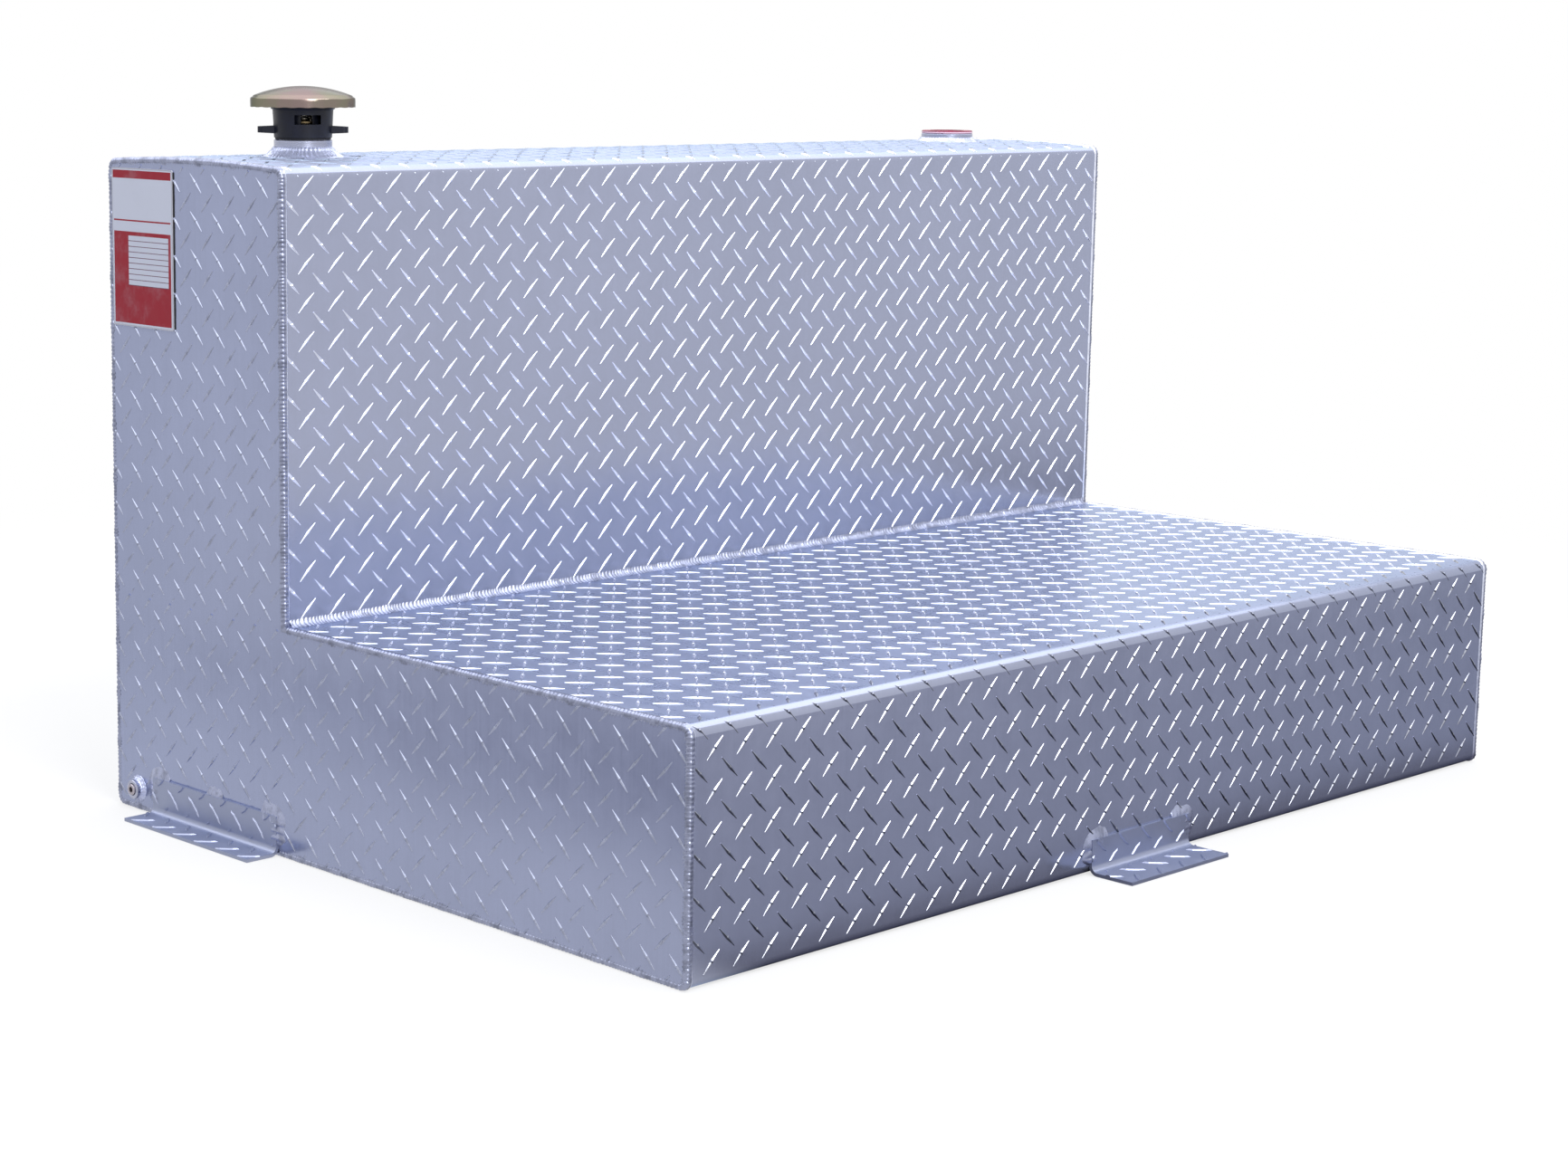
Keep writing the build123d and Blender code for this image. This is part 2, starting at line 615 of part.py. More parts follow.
def build_tank():
    """Every piece, by name."""
    parts = {"wrap_sheet": wrap_sheet()}
    wrap = parts["wrap_sheet"]
    for name, side in SIDE_OF.items():
        parts[f"end_plate_{name}"] = end_plate(side)
        parts[f"corner_weld_{name}"] = corner_weld(side)
        parts[f"baffle_{name}"] = baffle(side * BAFFLE_SPACING / 2)
    parts["seam_weld"] = seam_weld(wrap)
    parts["filler_neck"] = port(NECK_DIAMETER, NECK_HEIGHT, NECK_X)
    parts["filler_neck_weld"] = port_weld(NECK_DIAMETER, NECK_WELD_SPREAD, NECK_WELD_HEIGHT, NECK_X, wrap)
    parts["pump_bung"] = port(PORT_DIAMETER, PORT_HEIGHT, PORT_X)
    parts["pump_bung_weld"] = port_weld(PORT_DIAMETER, PORT_WELD_SPREAD, PORT_WELD_HEIGHT, PORT_X, wrap)
    parts["bung_plug"] = bung_plug()
    parts["cap_gasket"] = cap_gasket()
    parts["cap_body"] = cap_body()
    parts["cap_carrier"] = cap_carrier()
    parts["cap_dome"] = cap_dome()
    parts["vent_seal"] = vent_seal()
    parts["vent_poppet"] = vent_poppet()
    parts["vent_spring"] = vent_spring()
    parts["drain_bung"] = drain_bung()
    parts["drain_bung_weld"] = drain_weld(parts["end_plate_left"])
    parts["drain_plug"] = drain_plug()
    for name in ("front", "left", "right"):
        bracket, welds = bracket_pair(name)
        parts[f"bracket_{name}"] = bracket
        parts[f"bracket_{name}_welds"] = welds
    parts["label"] = label()
    return parts


os.makedirs("parts", exist_ok=True)
for node, solid in build_tank().items():
    export_step(solid, f"parts/{node}.step")
    print(node, round(solid.volume), len(solid.solids()))
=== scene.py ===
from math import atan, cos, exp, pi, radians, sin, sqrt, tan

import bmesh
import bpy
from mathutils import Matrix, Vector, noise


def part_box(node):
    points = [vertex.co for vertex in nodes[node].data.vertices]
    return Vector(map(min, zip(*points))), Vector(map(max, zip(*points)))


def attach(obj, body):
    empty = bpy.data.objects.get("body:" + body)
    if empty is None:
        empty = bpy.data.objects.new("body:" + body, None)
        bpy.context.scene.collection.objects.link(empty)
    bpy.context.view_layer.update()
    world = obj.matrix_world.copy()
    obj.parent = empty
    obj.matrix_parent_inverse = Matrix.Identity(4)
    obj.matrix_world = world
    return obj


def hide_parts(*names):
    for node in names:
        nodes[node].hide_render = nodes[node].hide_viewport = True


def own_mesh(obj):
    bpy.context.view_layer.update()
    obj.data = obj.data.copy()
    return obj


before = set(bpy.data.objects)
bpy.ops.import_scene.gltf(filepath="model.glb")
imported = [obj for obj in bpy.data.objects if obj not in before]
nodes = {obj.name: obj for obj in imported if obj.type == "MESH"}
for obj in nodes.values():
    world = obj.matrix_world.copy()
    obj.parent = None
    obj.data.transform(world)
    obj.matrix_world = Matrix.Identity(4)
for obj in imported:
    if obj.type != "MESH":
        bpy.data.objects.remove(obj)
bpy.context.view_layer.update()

# %% [markdown]
# # A transfer tank of tread plate
# The tank is one aluminium tread plate folded round an L-shaped section, with an L-shaped plate
# welded into each end. Its true form is already in the frame. What a camera sees on the real one
# and the frame lacks is small: some four thousand raised lugs, weld beads with ripples like a
# stack of coins, the sheen of rolled aluminium and the print of a label. Each cell adds one.

MM = 0.001
boxes = {name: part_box(name) for name in nodes}

# %% [markdown]
# ## Sizes
# Every place below is worked out from the frame's boxes and the few sizes that the sheet was
# folded to: the step, the tower's height and depth, the sheet and its bends. The top is crowned
# by one long arc, which ends a little more than a bend's radius short of the bends beside it.

# %% Sizes of the folded sheet
SHEET = 3.2 * MM
BEND = 9.6 * MM
TOWER_DEPTH = 280 * MM
TOWER_HEIGHT = 652 * MM
DECK_HEIGHT = 223 * MM
TOP_RISE = 8 * MM
CREST_BLEND = 1.1
WELD_TOE = 6.5 * MM
WELD_PROUD = 1.3 * MM

HALF_WIDTH = -boxes["end_plate_left"][0].x
FRONT_Y = boxes["wrap_sheet"][0].y
BACK_Y = boxes["wrap_sheet"][1].y
RISER_Y = BACK_Y - TOWER_DEPTH
TOP_Y = BACK_Y - TOWER_DEPTH / 2
CREST_Z = boxes["wrap_sheet"][1].z
TOP_SLOPE = atan(TOP_RISE / (TOWER_DEPTH / 2))
CREST_RADIUS = (TOWER_DEPTH / 2 / cos(TOP_SLOPE) - CREST_BLEND * BEND) / tan(TOP_SLOPE)
print("half width", round(HALF_WIDTH, 4), "front", round(FRONT_Y, 4), "back", round(BACK_Y, 4))

# %% [markdown]
# ## Camera
# A photograph fixes a camera by the vanishing points of the tank's three families of edges. This
# one stands off the front left corner, a little above the top, looking down by nine degrees. Its
# optical centre is off the picture's middle, as after cropping: the lens is shifted to match.

# %% The camera
PHOTO_WIDTH = 1732
PHOTO_HEIGHT = 1299
FOCAL_PIXELS = 3255.8
OPTICAL_CENTRE = (611.6, 575.8)
CAMERA_PLACE = Vector((-2.2603, -2.02085, 0.7614))
CAMERA_YAW = radians(42.507)
CAMERA_PITCH = radians(9.088)
CAMERA_ROLL = radians(0.428)
SENSOR_WIDTH = 36
NEAREST = 0.05
FARTHEST = 200


def put_in_scene(name, data):
    """An object of that data, linked to the scene."""
    made = bpy.data.objects.new(name, data)
    bpy.context.scene.collection.objects.link(made)
    return made


def photograph_camera():
    """Camera at the photograph's place, with its lens and its off-centre frame."""
    data = bpy.data.cameras.new("photograph")
    data.sensor_width = SENSOR_WIDTH
    data.sensor_fit = "HORIZONTAL"
    data.lens = FOCAL_PIXELS / PHOTO_WIDTH * SENSOR_WIDTH
    data.shift_x = 0.5 - OPTICAL_CENTRE[0] / PHOTO_WIDTH
    data.shift_y = (OPTICAL_CENTRE[1] - PHOTO_HEIGHT / 2) / PHOTO_WIDTH
    data.clip_start = NEAREST
    data.clip_end = FARTHEST
    camera = put_in_scene("photograph_camera", data)
    forward = Vector((sin(CAMERA_YAW), cos(CAMERA_YAW), -tan(CAMERA_PITCH))).normalized()
    right = forward.cross(Vector((0, 0, 1))).normalized()
    up = right.cross(forward)
    level_right = cos(CAMERA_ROLL) * right + sin(CAMERA_ROLL) * up
    level_up = -sin(CAMERA_ROLL) * right + cos(CAMERA_ROLL) * up
    turn = Matrix((level_right, level_up, -forward)).transposed()
    camera.matrix_world = Matrix.Translation(CAMERA_PLACE) @ turn.to_4x4()
    return camera


bpy.context.scene.camera = photograph_camera()
bpy.context.scene.view_settings.view_transform = "Standard"
print("lens", round(bpy.context.scene.camera.data.lens, 2), "mm")

# %% [markdown]
# ## Shader maths as plain expressions
# A finish is a small network of nodes. Written node by node, its arithmetic is hard to read, so a
# `Wire` stands for one socket and lets Python's own operators add the Math nodes. Any other node
# comes from `Network.node`, which sets the node up first and then joins its inputs.

# %% Wires and networks


class Wire:
    """One output of a network of nodes, which can be used in sums."""

    def __init__(self, network, socket):
        self.network = network
        self.socket = socket

    def math(self, operation, *values):
        return self.network.math_of(operation, *values)

    def __add__(self, other):
        return self.math("ADD", self, other)

    def __radd__(self, other):
        return self.math("ADD", other, self)

    def __sub__(self, other):
        return self.math("SUBTRACT", self, other)

    def __rsub__(self, other):
        return self.math("SUBTRACT", other, self)

    def __mul__(self, other):
        return self.math("MULTIPLY", self, other)

    def __rmul__(self, other):
        return self.math("MULTIPLY", other, self)

    def __truediv__(self, other):
        return self.math("DIVIDE", self, other)

    def __rtruediv__(self, other):
        return self.math("DIVIDE", other, self)

    def __gt__(self, other):
        return self.math("GREATER_THAN", self, other)

    def __lt__(self, other):
        return self.math("LESS_THAN", self, other)


class Network:
    """The nodes of one material or of the world."""

    def __init__(self, tree):
        self.tree = tree

    def node(self, kind, settings=None, inputs=None, output=0):
        """Adds a node: its settings first, then the values or wires of its inputs."""
        node = self.tree.nodes.new(kind)
        for name, value in (settings or {}).items():
            if name == "stops":
                self.set_stops(node.color_ramp, value)
            else:
                setattr(node, name, value)
        for key, value in (inputs or {}).items():
            self.join(value, node.inputs[key])
        return Wire(self, node.outputs[output])

    def math_of(self, operation, *values):
        """One Math node over wires and numbers."""
        return self.node("ShaderNodeMath", {"operation": operation}, dict(enumerate(values)))

    def join(self, value, socket):
        """Links a wire to a socket, or sets the socket's own value."""
        if isinstance(value, Wire):
            self.tree.links.new(value.socket, socket)
        else:
            socket.default_value = value

    def set_stops(self, ramp, stops):
        """Colour stops of a ramp, from (place, colour) pairs."""
        while len(ramp.elements) < len(stops):
            ramp.elements.new(0.5)
        for element, (place, colour) in zip(ramp.elements, stops):
            element.position = place
            element.color = colour

    def ray(self, kind):
        """1 on rays of one kind, 0 on others."""
        return self.node("ShaderNodeLightPath", output=f"Is {kind} Ray")

    def mix(self, factor, first, second):
        """Two shaders mixed, and shown as the surface of this material or world."""
        mixed = self.node("ShaderNodeMixShader", inputs={0: factor, 1: first, 2: second})
        ends = [node for node in self.tree.nodes if node.type.startswith("OUTPUT")]
        self.join(mixed, ends[0].inputs["Surface"])


# A Mix node has sockets for every kind of value. These are the places of its colours.
MIX_FIRST = 6
MIX_SECOND = 7
MIX_RESULT = 2


class Finish(Network):
    """A material with its network of nodes."""

    def __init__(self, name, **constants):
        self.material = bpy.data.materials.new(name)
        self.material.use_nodes = True
        super().__init__(self.material.node_tree)
        self.shader = self.tree.nodes["Principled BSDF"]
        for socket, value in constants.items():
            self.shader.inputs[socket.replace("_", " ")].default_value = value

    def place(self):
        """The point on the object, in metres, which moves with the piece."""
        return self.node("ShaderNodeTexCoord", output="Object")

    def axis(self, name):
        """One coordinate of the point on the object."""
        return self.node("ShaderNodeSeparateXYZ", inputs={0: self.place()}, output=name)

    def stretched(self, scale):
        """The point on the object, scaled by a different amount along each axis."""
        settings = {"vector_type": "POINT"}
        inputs = {"Vector": self.place(), "Scale": scale}
        return self.node("ShaderNodeMapping", settings, inputs)

    def noise(self, scale, detail=3, roughness=0.55, where=None):
        """Soft noise from 0 to 1, with that many cells to the metre."""
        inputs = {"Scale": scale, "Detail": detail, "Roughness": roughness}
        inputs["Vector"] = self.place() if where is None else where
        return self.node("ShaderNodeTexNoise", {"noise_dimensions": "3D"}, inputs)

    def ramp(self, value, low, high, to_low=0.0, to_high=1.0):
        """A value spread smoothly from one range to another, and held at its ends."""
        settings = {"interpolation_type": "SMOOTHSTEP"}
        inputs = {0: value, 1: low, 2: high, 3: to_low, 4: to_high}
        return self.node("ShaderNodeMapRange", settings, inputs)

    def blend(self, factor, first, second):
        """A colour between two others."""
        inputs = {0: factor, MIX_FIRST: first, MIX_SECOND: second}
        return self.node("ShaderNodeMix", {"data_type": "RGBA"}, inputs, MIX_RESULT)

    def strip(self, value, edges, most=1):
        """A soft strip: it rises between the first two edges and sinks between the last two."""
        rise, full, sink, gone = edges
        return self.ramp(value, rise, full) * self.ramp(value, sink, gone, most, 0)

    def bump(self, height, distance, strength=1.0, under=None):
        """Small relief, distance metres high where height goes from 0 to 1."""
        inputs = {"Strength": strength, "Distance": distance, "Height": height}
        if under is not None:
            inputs["Normal"] = under
        return self.node("ShaderNodeBump", inputs=inputs)

    def set(self, **sockets):
        """Joins wires to the sockets of the shader itself."""
        for name, value in sockets.items():
            self.join(value, self.shader.inputs[name.replace("_", " ")])
        return self


def shade(level, tint=(0.92, 0.99, 1.36)):
    """A linear colour from a grey level of 0 to 255 as a screen shows it, and a cool tint."""
    grey = ((level / 255 + 0.055) / 1.055) ** 2.4
    return (grey * tint[0], grey * tint[1], grey * tint[2], 1)


print("shader helpers ready; mid grey is", [round(c, 3) for c in shade(128)])

# %% [markdown]
# ## Finishes of the aluminium
# Tread plate leaves the mill with fine grain along the roll, faint stains and sheets that are
# never quite flat, so what they mirror wavers. Pure metal would mirror too sharply, so a quarter
# of each sheet scatters light as paint does, and what lies level is dulled by dust. Streaks come
# from noise that is stretched along the roll: no picture is needed, and no seam can show.

# %% Rolled sheet, with its grain along the wrap or upright on the ends
SHEET_METAL = 0.75
SHEET_EDGE_TINT = (0.62, 0.74, 0.95, 1)
SHEET_WAVE = 2.2 * MM
SHEET_GRAIN = 0.02 * MM
# Dust lies where the sheet looks up, and there is more of it on the tower than on the deck.
LEVEL = (0.9, 0.99)
DUST = (0.3, 0.6, 0.1, 0.3)


def rolled_sheet(name, level, grain, tint, rough=0.15):
    """Mill-finished aluminium, with streaks along the axes where grain is small."""
    finish = Finish(name, Metallic=SHEET_METAL, Specular_Tint=SHEET_EDGE_TINT)
    streaks = finish.noise(1.0, 4, 0.65, finish.stretched(grain))
    clouds = finish.noise(3.2, 3, 0.5)
    stains = finish.noise(26, 5, 0.7)
    dark = shade(level - 5, tint)
    light = shade(level + 4, tint)
    tone = finish.ramp(0.25 * streaks + 0.45 * clouds + 0.3 * stains, 0.3, 0.7)
    wave = finish.bump(finish.noise(4.5, 2, 0.4), SHEET_WAVE, 0.35)
    skin = finish.bump(streaks, SHEET_GRAIN, 0.35, wave)
    facing = finish.node("ShaderNodeTexCoord", output="Normal")
    upward = finish.node("ShaderNodeSeparateXYZ", inputs={0: facing}, output="Z")
    dust = finish.ramp(upward, *LEVEL) * finish.ramp(finish.axis("Z"), *DUST)
    return finish.set(
        Base_Color=finish.blend(tone, dark, light),
        Roughness=finish.ramp(0.6 * stains + 0.4 * streaks, 0.35, 0.65, rough, rough + 0.1) + dust,
        Normal=skin,
    )


wrap_finish = rolled_sheet("tread_plate_wrap", 164, (420, 5, 5), (0.93, 0.99, 1.3))
# The ends are cut from the same stock as the wrap; their copy is tinted bluer as painted light, for
# the tone the ends take from what they mirror.
end_finish = rolled_sheet("tread_plate_end", 163, (6, 420, 5), (0.92, 1, 1.4))
bracket_finish = rolled_sheet("bracket_sheet", 158, (6, 60, 6), (0.92, 0.99, 1.33), 0.33)
inner_finish = rolled_sheet("baffle_sheet", 150, (6, 300, 6), (0.93, 1, 1.26))
print("four sheets")

# %% [markdown]
# The lugs are the sheet's own metal with another history. What stands proud on the deck and the
# riser is rubbed bright, and its colour is set lighter still as a painted highlight, so that its
# glints show white. What lies on the tower's top is dusty. On the front, the lower flank of the
# lugs that lean one way and the nick of the others are coloured dark: painted shade. They are
# plain metals, so one function makes them all.

# %% Finishes of the lugs


def rubbed_lugs(name, level, tint=(0.95, 0.99, 1.16), rough=0.2):
    """The lugs' metal, with a fine grain and a rub that noise spreads."""
    finish = Finish(name, Metallic=1.0)
    rub = finish.noise(140, 3, 0.6)
    tone = finish.ramp(rub, 0.35, 0.65)
    return finish.set(
        Base_Color=finish.blend(tone, shade(level - 10, tint), shade(level + 10, tint)),
        Roughness=finish.ramp(rub, 0.3, 0.7, rough, rough + 0.08),
        Normal=finish.bump(finish.noise(900, 2, 0.5), 0.04 * MM, 0.6),
    )


# Lighter than the sheet: a real rub, with a painted highlight on top of it.
painted_highlight_lug_finish = rubbed_lugs("lugs_of_wrap", 228)
dusty_lug_finish = rubbed_lugs("lugs_of_top", 140, (0.84, 1, 1.35), 0.35)
front_lug_finish = rubbed_lugs("lugs_of_front", 166, rough=0.12)
# Dark faces of the front's lugs: painted shade.
painted_shade_flank_finish = rubbed_lugs("painted_shade_flank", 80, (0.9, 0.97, 1.35), 0.3)
end_lug_finish = rubbed_lugs("lugs_of_ends", 158, (0.92, 0.99, 1.3))
print("five finishes for the lugs")

# %% [markdown]
# Weld metal freezes pale and grainy, with a little soot. The heavy welds, which were laid slowly,
# are coarser and duller than the long beads, so they scatter a part of their light. The necks of
# the ports come off a lathe, whose tool leaves fine rings: noise that changes fast along Z only.

# %% Weld metal and turned aluminium


def weld_finish(name, level, grit=600, metallic=1.0):
    """Frozen weld metal: grit is how fine its grain is, in cells to the metre."""
    finish = Finish(name, Metallic=metallic)
    soot = finish.noise(90, 4, 0.65)
    tone = finish.ramp(soot, 0.3, 0.6)
    return finish.set(
        Base_Color=finish.blend(tone, shade(level - 34), shade(level)),
        Roughness=finish.ramp(soot, 0.3, 0.7, 0.42, 0.24),
        Normal=finish.bump(finish.noise(grit, 3, 0.6), 0.08 * MM, 0.8),
    )


bead_finish = weld_finish("weld_bead", 156)
cone_finish = weld_finish("weld_cone", 200, 400, 0.6)
tack_finish = weld_finish("weld_tack", 172, 260, 0.85)


def turned_finish(name, level, tint=(0.93, 0.97, 1.22)):
    """Turned metal, with fine rings round its upright axis."""
    finish = Finish(name, Metallic=1.0)
    rings = finish.node("ShaderNodeTexNoise", {"noise_dimensions": "3D"},
                        {"Vector": finish.stretched((3, 3, 2600)), "Scale": 1.0, "Detail": 2})
    tone = finish.ramp(rings, 0.35, 0.65)
    return finish.set(
        Base_Color=finish.blend(tone, shade(level - 14, tint), shade(level + 8, tint)),
        Roughness=finish.ramp(rings, 0.3, 0.7, 0.24, 0.34),
        Normal=finish.bump(rings, 0.05 * MM, 0.6),
    )


port_finish = turned_finish("turned_aluminium", 176)
print("weld and turned finishes")

# %% [markdown]
# ## Finishes of the fittings
# The cap is a black moulding with a pressed steel dome, zinc plated and passivated yellow, whose
# film shifts from straw to pink. The bung's plug is soft red plastic, the valve is brass, and the
# drain is a small coupling with a dull threaded plug.

# %% Plastics and rubber


def moulded(name, colour, gloss, speck, relief=0.03, printed=None):
    """A moulded plastic or rubber: faint flow marks, a grained skin and what is printed over."""
    finish = Finish(name, Specular_IOR_Level=0.3)
    flow = finish.ramp(finish.noise(60, 3, 0.6), 0.3, 0.7)
    darker = tuple(c * speck for c in colour[:3]) + (1,)
    own = finish.blend(flow, darker, colour)
    return finish.set(
        Base_Color=printed(finish, own) if printed else own,
        Roughness=finish.ramp(flow, 0, 1, gloss, gloss + 0.12),
        Normal=finish.bump(finish.noise(1500, 2, 0.5), relief * MM, 0.7),
    )


cap_finish = moulded("black_moulding", (0.008, 0.01, 0.022, 1), 0.34, 0.6)
rubber_finish = moulded("black_rubber", (0.02, 0.02, 0.022, 1), 0.6, 0.7, 0.06)


PLUG_PALE = (0.72, 0.5, 0.6, 1)
PALE_DEPTHS = (1.2 * MM, 1.6 * MM, 3.5 * MM, 4 * MM)


def pale_flange(finish, red):
    """The plug's flange, rubbed pale pink in a ring below its crimson rim."""
    below = boxes["bung_plug"][1].z - finish.axis("Z")
    return finish.blend(finish.strip(below, PALE_DEPTHS), red, PLUG_PALE)


plug_finish = moulded("red_plastic", (0.22, 0.004, 0.045, 1), 0.3, 0.7, printed=pale_flange)
print("two black mouldings and a red one")

# %% [markdown]
# Zinc, brass and steel are metals whose colour drifts with the thin film that lies on them. Two
# hues of the film are blended by noise, and each metal has its own pair.

# %% Plated and solid metals of the fittings
PLATED_EDGE_TINT = (0.5, 0.5, 0.52, 1)


def plated(name, straw, rose, rough):
    """Plated or solid coloured metal whose film drifts between two hues."""
    finish = Finish(name, Metallic=1.0, Specular_Tint=PLATED_EDGE_TINT)
    drift = finish.noise(24, 3, 0.6)
    patches = finish.noise(9, 2, 0.5)
    film = finish.ramp(0.6 * drift + 0.4 * patches, 0.38, 0.62)
    return finish.set(
        Base_Color=finish.blend(film, straw, rose),
        Roughness=finish.ramp(drift, 0.3, 0.7, rough, rough + 0.1),
        Normal=finish.bump(finish.noise(700, 2, 0.5), 0.03 * MM, 0.5),
    )


dome_finish = plated("yellow_zinc", (0.2, 0.2, 0.14, 1), (0.24, 0.18, 0.17, 1), 0.16)
# The valve's brass is set far darker than brass: painted shade of the dim chamber behind the
# windows.
painted_shade_brass_finish = plated("valve_brass", (0.13, 0.1, 0.055, 1), (0.1, 0.07, 0.04, 1), 0.25)
spring_finish = plated("spring_steel", (0.55, 0.52, 0.46, 1), (0.45, 0.44, 0.43, 1), 0.25)
drain_finish = plated("drain_plug_metal", (0.46, 0.43, 0.48, 1), (0.34, 0.3, 0.33, 1), 0.36)
print("metals of the fittings")

# %% [markdown]
# ## Dressing the frame
# A piece whose form is already true keeps it and only gets its finish. Welds and lugs need more
# form than the frame gives, and come as meshes of their own further down.

# %% A finish for every piece of the frame
PIECE_FINISHES = {
    "wrap_sheet": wrap_finish,
    "end_plate_left": end_finish,
    "end_plate_right": end_finish,
    "baffle_left": inner_finish,
    "baffle_right": inner_finish,
    "bracket_front": bracket_finish,
    "bracket_left": bracket_finish,
    "bracket_right": bracket_finish,
    "filler_neck": port_finish,
    "pump_bung": port_finish,
    "drain_bung": port_finish,
    "cap_gasket": rubber_finish,
    "vent_seal": rubber_finish,
    "cap_body": cap_finish,
    "cap_carrier": cap_finish,
    "cap_dome": dome_finish,
    "vent_poppet": painted_shade_brass_finish,
    "vent_spring": spring_finish,
    "bung_plug": plug_finish,
    "drain_plug": drain_finish,
}


def dress(piece, finish):
    """Gives a piece one finish all over."""
    piece.data.materials.clear()
    piece.data.materials.append(finish.material)


for name, node in nodes.items():
    if name.endswith("_welds"):
        dress(node, tack_finish)
    elif "weld" in name:
        dress(node, bead_finish)
    elif name in PIECE_FINISHES:
        dress(node, PIECE_FINISHES[name])
print("dressed", len(nodes), "pieces")

# %% [markdown]
# ## The path round the tank
# Lugs and beads follow the sheet round its bends, so both need one question answered: at a given
# distance along the folded sheet, where is its outer face and which way does it look? The
# section is a chain of straight runs and arcs, and `Section.at` walks along it.

# %% The outline of the section


class Section:
    """The tank's outer outline in the YZ plane, from the inner corner over the deck and round."""

    def __init__(self):
        corners = [
            (RISER_Y, DECK_HEIGHT, 0), (FRONT_Y, DECK_HEIGHT, BEND), (FRONT_Y, 0, BEND),
            (BACK_Y, 0, BEND), (BACK_Y, TOWER_HEIGHT, BEND),
            (TOP_Y, TOWER_HEIGHT + TOP_RISE, CREST_RADIUS), (RISER_Y, TOWER_HEIGHT, BEND),
        ]
        self.runs = []
        self.length = 0
        count = len(corners)
        cuts = [
            self.cut(corners[i - 1], corners[i], corners[(i + 1) % count]) for i in range(count)
        ]
        for i in range(count):
            start = cuts[i]["leave"]
            end = cuts[(i + 1) % count]["reach"]
            self.add_line(start, end)
            if i + 1 < count:
                self.add_arc(cuts[i + 1])

    def cut(self, before, corner, after):
        """Where a rounded corner leaves its two sides, with its centre and its turn."""
        here = Vector(corner[:2])
        back = (Vector(before[:2]) - here).normalized()
        on = (Vector(after[:2]) - here).normalized()
        half = back.angle(on) / 2
        reach = corner[2] / tan(half)
        middle = (back + on).normalized() * (corner[2] / sin(half))
        return {"reach": here + back * reach, "leave": here + on * reach,
                "centre": here + middle, "radius": corner[2], "turn": pi - 2 * half}

    def add_line(self, start, end):
        along = (end - start).normalized()
        normal = Vector((along.y, -along.x))
        self.add_run((end - start).length, kind="line", start=start, along=along, normal=normal)

    def add_arc(self, cut):
        first = (cut["reach"] - cut["centre"]).normalized()
        last = (cut["leave"] - cut["centre"]).normalized()
        self.add_run(cut["radius"] * cut["turn"], kind="arc", first=first, last=last, **cut)

    def add_run(self, length, **shape):
        """Adds a run of that length at the end of the outline."""
        self.runs.append({"from": self.length, "to": self.length + length, **shape})
        self.length += length

    def at(self, distance):
        """The point and the outward normal at a distance along the outline."""
        run = next((r for r in self.runs if distance <= r["to"]), self.runs[-1])
        gone = distance - run["from"]
        if run["kind"] == "line":
            return run["start"] + run["along"] * gone, run["normal"]
        share = gone / (run["to"] - run["from"])
        normal = run["first"].slerp(run["last"], share)
        return run["centre"] + normal * run["radius"], normal


section = Section()
runs = dict(zip((
    "deck", "front_bend", "front", "foot_bend", "bottom", "heel_bend", "back", "back_bend",
    "top_back", "crest", "top_front", "riser_bend", "riser",
), section.runs))
print("outline", round(section.length, 4), "m in", len(runs), "runs")
for name, run in runs.items():
    print(f"  {name}: {run['kind']} from {run['from']:.4f} to {run['to']:.4f} m")


def on_wrap(x, distance, lift):
    """A point over the folded sheet: x across it, a distance along it and a lift off it."""
    point, normal = section.at(distance)
    return Vector((x, point.x + normal.x * lift, point.y + normal.y * lift))


# %% [markdown]
# ## Lugs
# Each lug is a slender rhomb, 26 mm long, with a nick across its middle, and stands at 45 degrees
# to the sheet's edges. Its neighbours lean the other way, half a pitch off both ways. A texture
# could draw them, but their outline shows against the light on every bend, so each is a small
# closed mesh, made of a few rings along its length.

# %% One lug
PITCH_ACROSS = 35.1 * MM
PITCH_ALONG = 36.15 * MM
LUG_LENGTH = 26 * MM
LUG_WIDTH = 4.2 * MM
LUG_HEIGHT = 1.2 * MM
LUG_ROOT = 0.3 * MM
LUG_TIP = 0.3
LUG_NICK = 0.45
LUG_STATIONS = (-1, -0.08, 0, 0.08, 1)
LUG_SHORTEST = 5 * MM
LUG_RING = ((-1.0, 0.0), (-0.35, 0.85), (0.0, 1.0), (0.35, 0.85), (1.0, 0.0))
LUG_CREASE = radians(15)
# On the front, the faces marked by these two take the dark finish, as painted shade.
LOWER_FLANK = (2, 3)
NICK = (1, 2)


def lug_rings(first, last):
    """Rings of (along, aside, lift) points of a lug, kept between two places on its length."""
    rings = []
    for station in sorted({max(first, min(last, station)) for station in LUG_STATIONS}):
        rest = 1 - (1 - LUG_TIP) * abs(station)
        half = LUG_WIDTH / 2 * rest
        high = LUG_HEIGHT * rest * (LUG_NICK if station == 0 else 1)
        along = station * LUG_LENGTH / 2
        rings.append([
            (along, side * half, lift * high - (LUG_ROOT if lift == 0 else 0))
            for side, lift in LUG_RING
        ])
    return rings


print("a lug has", len(LUG_STATIONS) * len(LUG_RING), "points")

# %% [markdown]
# A `Mesh` gathers rings of points, joins them into closed skins and makes one object of them all,
# which is far quicker than an object for each lug. The pattern itself is one function for every
# face: it is told how two distances over the face turn into a point, and where a fitting stands.

# %% A pattern of lugs over a face
CREASE = radians(50)


